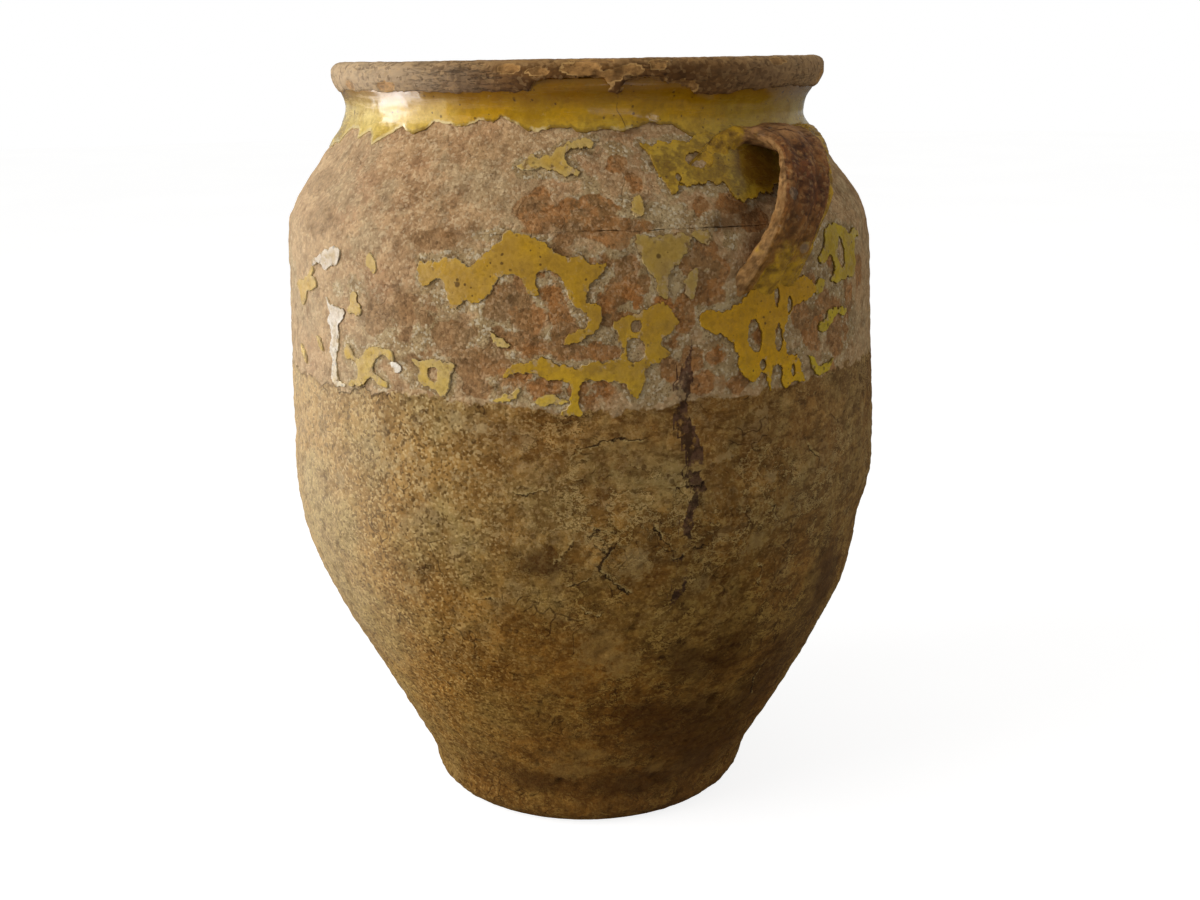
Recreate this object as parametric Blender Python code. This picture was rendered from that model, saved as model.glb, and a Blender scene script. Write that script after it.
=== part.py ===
"""A two-handled confit pot of glazed earthenware, built the way a potter puts one together.

The pot is thrown in two sections. The lower one has the foot, the floor and the belly. The
upper one is the shoulder and the neck, and is luted on just above the shoulder's corner. A
rolled collar finishes the neck, two pulled strap handles are pressed on, and a yellow glaze
coats the neck, the shoulder and the inside. Much of the outer glaze has flaked off, so what is
left of it on the body is a handful of loose-edged patches.

Metres, +Z up. The origin is the middle of the foot's underside and the handles lie on +X and -X.
"""
import bpy
import bmesh
from math import cos, exp, hypot, pi, radians, sin, tan
from mathutils import Matrix, Vector

# Driving heights, each one a stage of the wall above the one before it
FOOT_EDGE = 0.0080          # rounding of the foot's bottom edge
FLARE_RISE = 0.1466         # from the foot's edge up to the widest part of the belly
WALL_RISE = 0.1042          # from the widest part up to the shoulder's corner
SHOULDER_RISE = 0.0377      # from the shoulder's corner up to the root of the neck
NECK_RISE = 0.0080          # the upright stretch of the neck
COLLAR_FLARE_RISE = 0.0055  # from the neck up to the collar's seat
COLLAR_HEIGHT = 0.0100      # the rolled collar itself

# Driving radii of the outside
FOOT_RADIUS = 0.0717
BELLY_RADIUS = 0.1274
SHOULDER_RADIUS = 0.1230
NECK_RADIUS = 0.0960
COLLAR_FLARE = 0.0042       # how far the neck leans out under the collar
COLLAR_OVERHANG = 0.0073    # how far the collar stands out from the neck

# How the wall curves between those heights
FOOT_LIFT = 0.018           # upright pull of the wall as it leaves the foot
BELLY_EASE = 0.062          # upright pull of the wall as it reaches the belly
WALL_BOW = 1.8              # how late the upper wall turns inwards, 1 being a straight cone
SHOULDER_ROUND = 0.018
NECK_ROUND = 0.009
COLLAR_ROUND = 0.0042
COLLAR_INNER_ROUND = 0.0030

# Thickness of the clay and of the glaze
WALL_THICKNESS = 0.0085
FLOOR_THICKNESS = 0.0120
FLOOR_ROUND = 0.0160
FLOOR_ROUND_START = 0.0096  # height over the floor where the inside leaves the wall for it
GLAZE_THICKNESS = 0.0006

# The luting joint between the two thrown sections
LUTING_RISE = 0.0022        # height of the joint above the shoulder's corner
LUTING_BEVEL = 0.0030       # how much lower the joint lies on the inside

# The strap handles
HANDLE_WIDTH = 0.0250
HANDLE_THICKNESS = 0.0094
HANDLE_ROOT_DROP = 0.0083   # upper root below the root of the neck
HANDLE_LEAVE = 0.0140       # how far the strap runs out before it turns down
HANDLE_FOOT_DROP = 0.0248   # lower root below the shoulder's corner
HANDLE_BOW = 0.0243         # how far the strap stands out over its lower root
HANDLE_LIFT = 0.0460        # how high above its lower root it does so
HANDLE_SINK = 0.0050        # how deep the roots are let into the wall before they are trimmed
HANDLE_TOP_TURN = 9.0       # degrees round the pot from the X axis to the upper root
HANDLE_FOOT_TURN = -11.0    # the same to the lower root: the strap is set on askew
HANDLE_TOP_SPREAD = 0.0060  # how much the thumbed upper root widens, each side
HANDLE_FOOT_SPREAD = 0.0040
HANDLE_TOP_SPREAD_SHARE = 0.10    # share of the strap's length over which that fades
HANDLE_FOOT_SPREAD_SHARE = 0.12
HANDLE_GROOVE = 0.0011      # depth of the two grooves the fingers leave along the strap
HANDLE_GROOVE_PLACE = 0.33  # their place, as a share of the half width
HANDLE_GROOVE_WIDTH = 0.16

# The surviving glaze
NECK_GLAZE_DROP = 0.0012    # the neck's coat ends this far below the root of the neck
GLAZE_DIP_DROP = 0.0600     # the pot was dipped to this far below the shoulder's corner
RUN_DROP = 0.0120           # the longest run of glaze reaches this far below the dip line
PRISM_START = 0.0600        # the wedges that cut the patches start this far from the axis
PRISM_END = 0.1800          # and end here, outside the pot

CLEARANCE = 0.0003          # the gap that every two touching pieces keep
SIDES = 48                  # facets round the pot, the same on every turned piece
ARC_STEPS = 3
ARC_SHARE = 0.48            # an arc takes at most this share of the straight next to it
FLARE_STEPS = 10
WALL_STEPS = 4
INNER_FLARE_STEPS = 6       # the dark inside needs fewer rings than the outside
INNER_WALL_STEPS = 2
STRAP_STEPS = 20
STRAP_SIDES = 16
SHARP_ANGLE = 38            # degrees from which an edge is shaded sharp

FOOT_TOP = FOOT_EDGE
BELLY_HEIGHT = FOOT_TOP + FLARE_RISE
SHOULDER_HEIGHT = BELLY_HEIGHT + WALL_RISE
NECK_HEIGHT = SHOULDER_HEIGHT + SHOULDER_RISE
NECK_TOP = NECK_HEIGHT + NECK_RISE
SEAT_HEIGHT = NECK_TOP + COLLAR_FLARE_RISE
POT_HEIGHT = SEAT_HEIGHT + COLLAR_HEIGHT
LUTING_HEIGHT = SHOULDER_HEIGHT + LUTING_RISE
COLLAR_RADIUS = NECK_RADIUS + COLLAR_OVERHANG

# Patches of glaze left on the body. Each is an outline of (degrees round the pot from the X
# axis, height above the dip line in thousandths of the glazed band), chosen by eye.
GLAZE_PATCHES = {
    # the big ragged patch that hangs from the luting line
    "glaze_drape": [
        (-72, 780), (-66, 830), (-62, 830), (-58, 960), (-54, 950), (-49, 840), (-42, 840),
        (-40, 760), (-43, 660), (-41, 540), (-46, 380), (-45, 600), (-48, 800), (-52, 740),
        (-56, 820), (-61, 630), (-66, 590), (-68, 760), (-72, 680)],
    # the long tongue below it, with one run over the dip line
    "glaze_tongue": [
        (-38, 530), (-30, 610), (-28, 500), (-31, 380), (-29, 320), (-34, 210), (-36, 80),
        (-40, 150), (-44, 140), (-44, -40), (-47, -40), (-46, 150), (-55, 190), (-57, 250),
        (-50, 300), (-43, 270), (-38, 330)],
    # the pale island between the tongue and the handle
    "glaze_island": [(-34, 960), (-22, 950), (-23, 880), (-28, 760), (-30, 650), (-32, 720)],
    # the saturated patch that runs out from under the handle
    "glaze_under_handle": [
        (-23, 540), (-18, 400), (-16, 160), (-13, 60), (-9, 180), (-4, 60), (-3, 200), (-7, 300),
        (-7, 530), (-4, 640), (-20, 640)],
    # the hooked patch on the far side of the handle
    "glaze_hook": [
        (6, 880), (19, 840), (19, 780), (16, 560), (9, 540), (13, 640), (12, 760), (7, 740)],
    # the low run of flakes along the dip line
    "glaze_low_run": [
        (-91, 290), (-84, 330), (-78, 300), (-74, 250), (-66, 260), (-66, 40), (-74, 100),
        (-79, 60), (-80, 200), (-90, 210)],
    # the same glaze on the far side of the pot, where the photograph does not reach
    "glaze_back_drape": [
        (96, 900), (118, 930), (140, 900), (150, 760), (138, 660), (128, 760), (118, 520),
        (108, 560), (104, 740)],
    "glaze_back_tongue": [
        (60, 340), (82, 420), (92, 300), (88, 120), (80, 40), (74, 160), (64, 120)],
    "glaze_under_back_handle": [
        (162, 640), (182, 640), (190, 360), (182, 60), (176, 80), (174, 260), (166, 300)],
    "glaze_back_hook": [
        (206, 860), (228, 900), (236, 700), (224, 560), (216, 620), (208, 600)],
}


def mix(a, b, share):
    return a + (b - a) * share


def bezier(p0, p1, p2, p3, share):
    """A point on the cubic Bezier curve of four control points, each a tuple."""
    q = 1 - share
    weights = (q ** 3, 3 * q * q * share, 3 * q * share * share, share ** 3)
    return tuple(sum(w * p[i] for w, p in zip(weights, (p0, p1, p2, p3))) for i in range(len(p0)))


def rounded(corners):
    """Turn corners of (radius, height, rounding) into points, with an arc at each rounding."""
    points = []
    for i, (x, z, rounding) in enumerate(corners):
        if rounding == 0 or i == 0 or i == len(corners) - 1:
            points.append((x, z))
            continue
        corner = Vector((x, z))
        before = Vector(corners[i - 1][:2]) - corner
        after = Vector(corners[i + 1][:2]) - corner
        half = before.angle(after) / 2
        room = min(before.length, after.length) * ARC_SHARE
        reach = min(rounding / tan(half), room)
        inward = (before.normalized() + after.normalized()).normalized()
        middle = corner + inward * (reach * tan(half) / sin(half))
        start = corner + before.normalized() * reach - middle
        sweep = start.angle_signed(corner + after.normalized() * reach - middle)
        for k in range(ARC_STEPS + 1):
            arm = Matrix.Rotation(-sweep * k / ARC_STEPS, 2) @ start
            points.append(tuple(middle + arm))
    return points


def offset(points, distance):
    """Shift a profile sideways: a positive distance goes out from the axis."""
    shifted = []
    for i, (x, z) in enumerate(points):
        x0, z0 = points[max(i - 1, 0)]
        x1, z1 = points[min(i + 1, len(points) - 1)]
        length = hypot(x1 - x0, z1 - z0)
        shifted.append((x + distance * (z1 - z0) / length, z - distance * (x1 - x0) / length))
    return shifted


def at_height(points, height):
    """The radius where a rising profile crosses a height."""
    for (x0, z0), (x1, z1) in zip(points, points[1:]):
        if z0 <= height <= z1 and z1 > z0:
            return mix(x0, x1, (height - z0) / (z1 - z0))
    return points[0][0] if height < points[0][1] else points[-1][0]


def stretch(points, low, high):
    """The part of a rising profile between two heights, with its ends cut exactly there."""
    inner = [(x, z) for x, z in points if low + CLEARANCE < z < high - CLEARANCE]
    return [(at_height(points, low), low)] + inner + [(at_height(points, high), high)]


def outer_wall(flare_steps, wall_steps, roundness):
    """The outside of the clay from the foot's edge to the collar's seat."""
    foot = (FOOT_RADIUS, FOOT_TOP)
    belly = (BELLY_RADIUS, BELLY_HEIGHT)
    low_pull = (FOOT_RADIUS, FOOT_TOP + FOOT_LIFT)
    high_pull = (BELLY_RADIUS, BELLY_HEIGHT - BELLY_EASE)
    flare = [bezier(foot, low_pull, high_pull, belly, k / flare_steps) for k in range(flare_steps)]
    wall = []
    for k in range(wall_steps):
        share = k / wall_steps
        bowed = mix(BELLY_RADIUS, SHOULDER_RADIUS, share ** WALL_BOW)
        wall.append((bowed, BELLY_HEIGHT + WALL_RISE * share))
    corners = [wall[-1] + (0,),
               (SHOULDER_RADIUS, SHOULDER_HEIGHT, SHOULDER_ROUND * roundness),
               (NECK_RADIUS, NECK_HEIGHT, NECK_ROUND * roundness),
               (NECK_RADIUS, NECK_TOP, NECK_ROUND * roundness),
               (NECK_RADIUS + COLLAR_FLARE, SEAT_HEIGHT, 0)]
    return flare + wall[:-1] + rounded(corners)


OUTER = outer_wall(FLARE_STEPS, WALL_STEPS, 1.0)
INNER = offset(outer_wall(INNER_FLARE_STEPS, INNER_WALL_STEPS, 0.0), -WALL_THICKNESS)
MOUTH_RADIUS = INNER[-1][0]
INNER[-1] = (MOUTH_RADIUS, SEAT_HEIGHT)


def foot_profile():
    """From the axis out along the underside and round the foot's bottom edge."""
    flat = FOOT_RADIUS - FOOT_EDGE
    points = [(0.0, 0.0)]
    for k in range(ARC_STEPS):
        turn = 0.5 * pi * k / ARC_STEPS
        points.append((flat + FOOT_EDGE * sin(turn), FOOT_EDGE * (1 - cos(turn))))
    return points


def inner_from_floor(inner, top, floor):
    """The inside of the clay or of the lining, from a height down to the axis."""
    lowest = floor + FLOOR_ROUND_START
    wall = stretch(inner, lowest, top)
    corner = (at_height(inner, floor), floor, FLOOR_ROUND)
    round_floor = rounded([wall[0] + (0,), corner, (0.0, floor, 0)])
    return wall[:0:-1] + round_floor


def material(name, color, roughness, metallic=0.0):
    made = bpy.data.materials.new(name)
    made.use_nodes = True
    shader = made.node_tree.nodes["Principled BSDF"]
    shader.inputs["Base Color"].default_value = (*color, 1.0)
    shader.inputs["Roughness"].default_value = roughness
    shader.inputs["Metallic"].default_value = metallic
    return made


def add_object(name, bm, finish):
    bmesh.ops.recalc_face_normals(bm, faces=bm.faces)
    mesh = bpy.data.meshes.new(name)
    bm.to_mesh(mesh)
    bm.free()
    mesh.shade_smooth()
    mesh.set_sharp_from_angle(angle=radians(SHARP_ANGLE))
    added = bpy.data.objects.new(name, mesh)
    bpy.context.scene.collection.objects.link(added)
    if finish is not None:
        mesh.materials.append(finish)
    return added


def turned(name, section, finish):
    """Spin a closed section of (radius, height) round the Z axis.

    A section that starts and ends on the axis makes a solid, any other one makes a ring.
    """
    on_axis = section[0][0] == 0.0
    bm = bmesh.new()
    corners = [bm.verts.new((x, 0.0, z)) for x, z in section]
    edges = [bm.edges.new(pair) for pair in zip(corners, corners[1:])]
    if not on_axis:
        edges.append(bm.edges.new((corners[-1], corners[0])))
    bmesh.ops.spin(bm, geom=corners + edges, cent=(0, 0, 0), axis=(0, 0, 1), angle=2 * pi,
                   steps=SIDES, use_merge=True)
    bmesh.ops.remove_doubles(bm, verts=bm.verts, dist=1e-6)
    return add_object(name, bm, finish)


def as_cutter(cutter):
    cutter.hide_render = True
    cutter.display_type = "WIRE"
    return cutter


def boolean(target, operation, cutter, name):
    step = target.modifiers.new(name, "BOOLEAN")
    step.operation = operation
    step.object = cutter
    step.solver = "EXACT"


def strap_centre(share):
    """The handle's centre line, as (degrees round the pot, radius, height)."""
    root = Vector((NECK_RADIUS, NECK_HEIGHT))
    low_height = SHOULDER_HEIGHT - HANDLE_FOOT_DROP
    foot = Vector((at_height(OUTER, low_height), low_height))
    radius, height = bezier(tuple(root + Vector((-HANDLE_SINK, -HANDLE_ROOT_DROP))),
                            tuple(root + Vector((HANDLE_LEAVE, 0.0))),
                            tuple(foot + Vector((HANDLE_BOW, HANDLE_LIFT))),
                            tuple(foot + Vector((-HANDLE_SINK, 0.0))), share)
    return mix(HANDLE_TOP_TURN, HANDLE_FOOT_TURN, share), radius, height


def strap_point(share):
    turn, radius, height = strap_centre(share)
    return Vector((radius * cos(radians(turn)), radius * sin(radians(turn)), height))


def strap_frame(share):
    """Where the strap is at a share of its length, with its width and outward directions."""
    step = 0.5 / STRAP_STEPS
    ahead = strap_point(min(share + step, 1.0))
    behind = strap_point(max(share - step, 0.0))
    along = (ahead - behind).normalized()
    turn = radians(strap_centre(share)[0])
    around = Vector((-sin(turn), cos(turn), 0.0))
    outward = along.cross(around).normalized()
    if outward.dot(Vector((cos(turn), sin(turn), 1.0))) < 0:
        outward.negate()
    across = outward.cross(along).normalized()
    return strap_point(share), across, outward


def strap_ring(share, margin):
    """One cross-section of the strap: an oval with two finger grooves down its outer face."""
    middle, across, outward = strap_frame(share)
    top_spread = HANDLE_TOP_SPREAD * exp(-share / HANDLE_TOP_SPREAD_SHARE)
    foot_spread = HANDLE_FOOT_SPREAD * exp(-(1 - share) / HANDLE_FOOT_SPREAD_SHARE)
    half_width = HANDLE_WIDTH / 2 + top_spread + foot_spread
    half_depth = HANDLE_THICKNESS / 2
    ring = []
    for k in range(STRAP_SIDES):
        angle = 2 * pi * k / STRAP_SIDES
        side = cos(angle)
        depth = half_depth * sin(angle)
        if sin(angle) > 0:
            groove = exp(-((abs(side) - HANDLE_GROOVE_PLACE) / HANDLE_GROOVE_WIDTH) ** 2)
            depth -= HANDLE_GROOVE * groove
        spread = Vector((side * half_width, depth))
        spread += spread.normalized() * margin
        ring.append(middle + across * spread.x + outward * spread.y)
    return ring


def strap(name, finish, half_turns, margin=0.0):
    """Loft the strap ring by ring, then turn it to its own side of the pot."""
    bm = bmesh.new()
    rings = []
    for k in range(STRAP_STEPS + 1):
        rings.append([bm.verts.new(p) for p in strap_ring(k / STRAP_STEPS, margin)])
    for ring, following in zip(rings, rings[1:]):
        for k in range(STRAP_SIDES):
            n = (k + 1) % STRAP_SIDES
            bm.faces.new((ring[k], ring[n], following[n], following[k]))
    bm.faces.new(rings[0])
    bm.faces.new(rings[-1])
    bmesh.ops.rotate(bm, verts=bm.verts, matrix=Matrix.Rotation(pi * half_turns, 3, "Z"))
    return add_object(name, bm, finish)


def patch_prism(name, outline, low, high, finish):
    """A wedge that goes straight out from the axis through a patch's outline."""
    bm = bmesh.new()
    near = []
    far = []
    for degrees_round, share in outline:
        turn = radians(degrees_round)
        height = mix(low, high, share / 1000)
        near.append(bm.verts.new((PRISM_START * cos(turn), PRISM_START * sin(turn), height)))
        far.append(bm.verts.new((PRISM_END * cos(turn), PRISM_END * sin(turn), height)))
    bm.faces.new(near)
    bm.faces.new(far)
    for k in range(len(near)):
        n = (k + 1) % len(near)
        bm.faces.new((near[k], near[n], far[n], far[k]))
    bmesh.ops.triangulate(bm, faces=bm.faces)
    return add_object(name, bm, finish)


def glaze_shell(name, low, high, finish):
    """A thin coat lying on the outside of the clay between two heights."""
    under = stretch(offset(OUTER, CLEARANCE), low, high)
    over = stretch(offset(OUTER, CLEARANCE + GLAZE_THICKNESS), low, high)
    return turned(name, under + over[::-1], finish)


for old in list(bpy.data.objects):
    bpy.data.objects.remove(old, do_unlink=True)

# The lower section: foot, floor, belly and wall, up to the bevelled lip of the luting joint
crusted_clay = material("crusted_clay", (0.23, 0.155, 0.07), 0.92)
lower_outside = stretch(OUTER, FOOT_TOP, LUTING_HEIGHT)
lower_inside = inner_from_floor(INNER, LUTING_HEIGHT - LUTING_BEVEL, FLOOR_THICKNESS)
lower_inside.insert(0, (at_height(INNER, LUTING_HEIGHT - LUTING_BEVEL), LUTING_HEIGHT - LUTING_BEVEL))
turned("lower_body", foot_profile() + lower_outside + lower_inside, crusted_clay)

# The upper section: shoulder and neck, seated on that lip
shoulder_clay = material("shoulder_clay", (0.31, 0.19, 0.10), 0.90)
upper_outside = stretch(OUTER, LUTING_HEIGHT + CLEARANCE, SEAT_HEIGHT)
upper_inside = stretch(INNER, LUTING_HEIGHT - LUTING_BEVEL + CLEARANCE, SEAT_HEIGHT)
turned("upper_body", upper_outside + upper_inside[::-1], shoulder_clay)

# The rolled collar: it lies on the neck's top edge and overhangs it
collar_clay = material("collar_clay", (0.16, 0.095, 0.045), 0.88)
collar_low = SEAT_HEIGHT + CLEARANCE
collar_corners = [(MOUTH_RADIUS, collar_low, 0),
                  (COLLAR_RADIUS, collar_low, COLLAR_ROUND),
                  (COLLAR_RADIUS, POT_HEIGHT, COLLAR_ROUND),
                  (MOUTH_RADIUS, POT_HEIGHT, COLLAR_INNER_ROUND),
                  (MOUTH_RADIUS, collar_low + CLEARANCE, 0)]
turned("rolled_collar", rounded(collar_corners), collar_clay)

# The lining: the glaze that seals the whole inside, from under the lip down across the floor
lining_glaze = material("lining_glaze", (0.42, 0.25, 0.06), 0.25)
lining_top = POT_HEIGHT - COLLAR_INNER_ROUND - CLEARANCE
bore = INNER[:-1] + [(MOUTH_RADIUS, SEAT_HEIGHT), (MOUTH_RADIUS, POT_HEIGHT)]
lining_back = offset(bore, -CLEARANCE)
lining_face = offset(bore, -CLEARANCE - GLAZE_THICKNESS)
back = inner_from_floor(lining_back, lining_top, FLOOR_THICKNESS + CLEARANCE)
face = inner_from_floor(lining_face, lining_top, FLOOR_THICKNESS + CLEARANCE + GLAZE_THICKNESS)
back.insert(0, (at_height(lining_back, lining_top), lining_top))
face.insert(0, (at_height(lining_face, lining_top), lining_top))
turned("glaze_lining", back[::-1] + face, lining_glaze)

# Two pulled strap handles, each trimmed to the wall by the shape of the wall itself
strap_clay = material("strap_clay", (0.24, 0.13, 0.065), 0.85)
trim = stretch(offset(OUTER, CLEARANCE), FOOT_TOP + CLEARANCE, SEAT_HEIGHT)
wall_cutter = turned("wall_cutter", [(0.0, trim[0][1])] + trim + [(0.0, trim[-1][1])], None)
as_cutter(wall_cutter)
handle_room = []
for name, half_turns in (("handle_right", 0), ("handle_left", 1)):
    handle = strap(name, strap_clay, half_turns)
    boolean(handle, "DIFFERENCE", wall_cutter, "trim_to_wall")
    room = strap(name + "_room", None, half_turns, margin=CLEARANCE)
    handle_room.append(as_cutter(room))

# The coat of glaze that is still whole round the neck, open where the handles leave it
neck_glaze_finish = material("neck_glaze", (0.52, 0.33, 0.03), 0.18)
neck_glaze = glaze_shell("neck_glaze", NECK_HEIGHT - NECK_GLAZE_DROP, SEAT_HEIGHT - CLEARANCE,
                         neck_glaze_finish)
for room in handle_room:
    boolean(neck_glaze, "DIFFERENCE", room, "room_for_" + room.name)

# What is left of the glaze below it: thin plates, each the part of one coat that lies inside
# a patch's outline
patch_finish = material("body_glaze", (0.50, 0.33, 0.05), 0.28)
dip_height = SHOULDER_HEIGHT - GLAZE_DIP_DROP
body_coat = as_cutter(glaze_shell("body_coat", dip_height - RUN_DROP, LUTING_HEIGHT, None))
for patch_name, outline in GLAZE_PATCHES.items():
    patch = patch_prism(patch_name, outline, dip_height, LUTING_HEIGHT, patch_finish)
    boolean(patch, "INTERSECT", body_coat, "keep_coat")
    if "handle" in patch_name:
        for room in handle_room:
            boolean(patch, "DIFFERENCE", room, "room_for_" + room.name)

print("height", round(POT_HEIGHT, 4), "belly", round(2 * BELLY_RADIUS, 4),
      "mouth", round(2 * MOUTH_RADIUS, 4))
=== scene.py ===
# %% [markdown]
# # A confit pot with a worn yellow glaze
#
# The pot is a big earthenware jar that once stored meat under fat. It was thrown in two
# sections, luted together above the shoulder's corner, and only its upper part was dipped in
# glaze. Most of that glaze has flaked off, and a dry crust covers the clay below it. The packed
# model gives the frame: every piece made here takes the place of one of its nodes, and adds the
# fine surface that the plain solids don't have.

# %% Load the frame
import random
from math import atan2, ceil, cos, degrees, exp, pi, radians, sin

import bmesh
import bpy
import numpy as np
from mathutils import Matrix, Vector


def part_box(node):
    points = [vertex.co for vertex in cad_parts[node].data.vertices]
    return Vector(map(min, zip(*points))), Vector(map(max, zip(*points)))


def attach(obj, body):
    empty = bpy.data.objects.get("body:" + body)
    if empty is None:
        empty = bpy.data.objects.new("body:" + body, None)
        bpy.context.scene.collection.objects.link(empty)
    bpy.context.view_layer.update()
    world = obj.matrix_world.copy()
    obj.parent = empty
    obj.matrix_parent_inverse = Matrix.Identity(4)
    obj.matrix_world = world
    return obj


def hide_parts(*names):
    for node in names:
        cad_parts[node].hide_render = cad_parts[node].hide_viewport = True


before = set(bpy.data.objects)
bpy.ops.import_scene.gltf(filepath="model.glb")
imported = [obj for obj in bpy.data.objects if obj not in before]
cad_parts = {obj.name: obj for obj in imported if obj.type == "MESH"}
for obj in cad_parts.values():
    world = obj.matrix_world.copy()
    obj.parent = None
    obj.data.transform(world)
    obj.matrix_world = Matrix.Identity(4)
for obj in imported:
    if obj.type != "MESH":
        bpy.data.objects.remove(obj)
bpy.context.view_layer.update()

# %% [markdown]
# ## One wall for every layer
#
# Clay, crust and glaze all lie on the same wall, so its outline is written once. It is a smooth
# curve through a few (height, radius) pairs. A thrown pot is never quite round: its middle
# wanders from side to side as it rises, and the potter's fingers leave shallow rings. Any layer
# asks the function `skin` where the wall is, and stands a chosen lift away from it. That way a
# flake of glaze follows each bump of the clay under it.

# %% The wall's outline
MM = 0.001
POT_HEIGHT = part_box("rolled_collar")[1].z
COLLAR_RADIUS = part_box("rolled_collar")[1].x
LUTING_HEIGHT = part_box("lower_body")[1].z
BELLY_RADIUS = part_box("lower_body")[1].x
WALL_THICKNESS = 8.5 * MM
FLOOR_HEIGHT = 12 * MM
FOOT_FLAT = 63 * MM           # radius of the flat underside

WALL_OUTLINE = [              # (height, radius) in millimetres, from the foot's edge to the seat
    (0, 63.1), (2.2, 67.2), (6.5, 70.8), (11, 71.9), (16, 73.0), (24, 76.7), (41, 86.2), (67, 100.0),
    (94, 113.6), (111, 119.7), (128, 123.4), (141, 126.2), (155, 127.2), (189, 126.3), (233, 124.6),
    (253, 123.2), (263, 119.9), (276, 110.9), (289.5, 100.9), (294, 97.6), (298.5, 96.2), (303, 96.5),
    (307, 98.2), (310, 100.2)]


def smooth_through(points, steps):
    """A smooth curve through a few points, with each span between them cut into steps."""
    curve = []
    last = len(points) - 1
    for i in range(last):
        a, b, c, d = points[max(i - 1, 0)], points[i], points[i + 1], points[min(i + 2, last)]
        for k in range(steps):
            t = k / steps
            curve.append(tuple(
                q + 0.5 * t * (r - p + t * (2 * p - 5 * q + 4 * r - s + t * (3 * q - p - 3 * r + s)))
                for p, q, r, s in zip(a, b, c, d)))
    return curve + [tuple(points[-1])]


WALL = np.array(smooth_through(WALL_OUTLINE, 12)) * MM
WALL_SLOPE = np.gradient(WALL[:, 1], WALL[:, 0])


def wall_radius(height):
    return np.interp(height, WALL[:, 0], WALL[:, 1])


print("wall outline:", len(WALL_OUTLINE), "points, widest", round(WALL[:, 1].max(), 4))

# %% Bumps of any size
DRAW = np.random.default_rng(5)
SHUFFLED = np.tile(DRAW.permutation(256), 3)
ARROWS = DRAW.normal(size=(256, 3))
ARROWS = (ARROWS / np.linalg.norm(ARROWS, axis=1)[:, None]).T.copy()


def bumps(points):
    """Smooth noise for many points at once: each corner of a cell pulls with its own arrow."""
    cell = np.floor(points).astype(int)
    x, y, z = (points - cell).T.copy()
    i, j, k = (cell & 255).T.copy()
    u, v, w = (s * s * s * (s * (6 * s - 15) + 10) for s in (x, y, z))
    total = 0
    for a in (0, 1):
        first = SHUFFLED[i + a]
        for b in (0, 1):
            second = SHUFFLED[first + j + b]
            for c in (0, 1):
                pick = SHUFFLED[second + k + c]
                pull = (x - a) * ARROWS[0][pick] + (y - b) * ARROWS[1][pick] + (z - c) * ARROWS[2][pick]
                total = total + pull * (u if a else 1 - u) * (v if b else 1 - v) * (w if c else 1 - w)
    return 1.6 * total


def clouds(points, size, seed=0, octaves=3):
    """Noise in lumps of a given size, with finer lumps on them, from about -1 to 1."""
    places = np.asarray(points) / size + (3.7 * seed, 1.9 * seed, 5.3 * seed)
    return sum(0.62 ** k * bumps(places * 2 ** k + 7.7 * k) for k in range(octaves))


def ease(low, high, value):
    """0 up to low, 1 from high on, and a smooth step between them."""
    share = np.clip((value - low) / (high - low), 0, 1)
    return share * share * (3 - 2 * share)


def ring_points(turn, height, radius):
    angle = np.radians(turn)
    return np.column_stack([radius * np.cos(angle), radius * np.sin(angle), height])


# %% The worn skin of the wall
CAMERA_TURN = -45.0           # the photograph was taken from this side of the pot
DRIFT = [                     # (height, how far the pot's middle sits to the camera's right)
    (0, 0.0), (35, 1.3), (63, 2.1), (80, 2.0), (100, 1.2), (120, -0.9), (130, -1.0), (146, 0.0),
    (165, 0.6), (190, 0.2), (235, 0.0), (258, -0.8), (275, -1.5), (296, -1.6), (306, 0.3), (320, 1.0)]
LUMP_SIZE, LUMP_DEPTH = 45 * MM, 0.45 * MM
DENT_SIZE, DENT_DEPTH = 17 * MM, 0.22 * MM
THROWING_STEP, THROWING_DEPTH = 8.5 * MM, 0.10 * MM


def skin(turn, height, lift):
    """Points on the pot's outside. Turn is in degrees from +X, height and lift in metres."""
    turn, height = np.asarray(turn, float), np.asarray(height, float)
    radius = wall_radius(height)
    slope = np.interp(height, WALL[:, 0], WALL_SLOPE)
    ideal = ring_points(turn, height, radius)
    drift = np.interp(height / MM, [h for h, d in DRIFT], [d for h, d in DRIFT]) * MM
    swell = drift * np.cos(np.radians(turn - CAMERA_TURN - 90))
    swell += clouds(ideal, LUMP_SIZE, 1) * LUMP_DEPTH + clouds(ideal, DENT_SIZE, 2) * DENT_DEPTH
    rings = np.sin(2 * pi * height / THROWING_STEP + 2.5 * clouds(ideal, LUMP_SIZE, 3, 1))
    swell += rings * THROWING_DEPTH
    swell *= ease(0, 12 * MM, height)
    length = np.hypot(1, slope)
    placed = ring_points(turn, height - lift * slope / length, radius + swell + lift / length)
    placed[:, 1] = np.clip(placed[:, 1], -BELLY_RADIUS, BELLY_RADIUS)
    placed[:, 2] = np.maximum(placed[:, 2], 0)
    return placed


print("skin at the belly:", [round(float(c), 4) for c in skin([CAMERA_TURN], [0.155], 0.0)[0]])

# %% [markdown]
# ## Marks on the clay
#
# What makes this pot look old is where things are: orange clay laid bare by a flake, grey slip
# round the edge of the glaze, one dark run below the handle. Each mark is an oval or a line that
# is placed on the unrolled wall, in degrees and millimetres. A mark is stored on the
# mesh as a soft number that is 0.5 at the mark's edge. The material later adds fine noise to that
# number and cuts it sharply, so a few numbers give a ragged, natural edge.

# %% Measuring on the unrolled wall
MM_PER_DEGREE = radians(1) * BELLY_RADIUS / MM


def unroll(turn, height):
    """Degrees and metres to millimetres on a flat sheet."""
    return np.column_stack([np.asarray(turn) * MM_PER_DEGREE, np.asarray(height) / MM])


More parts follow.
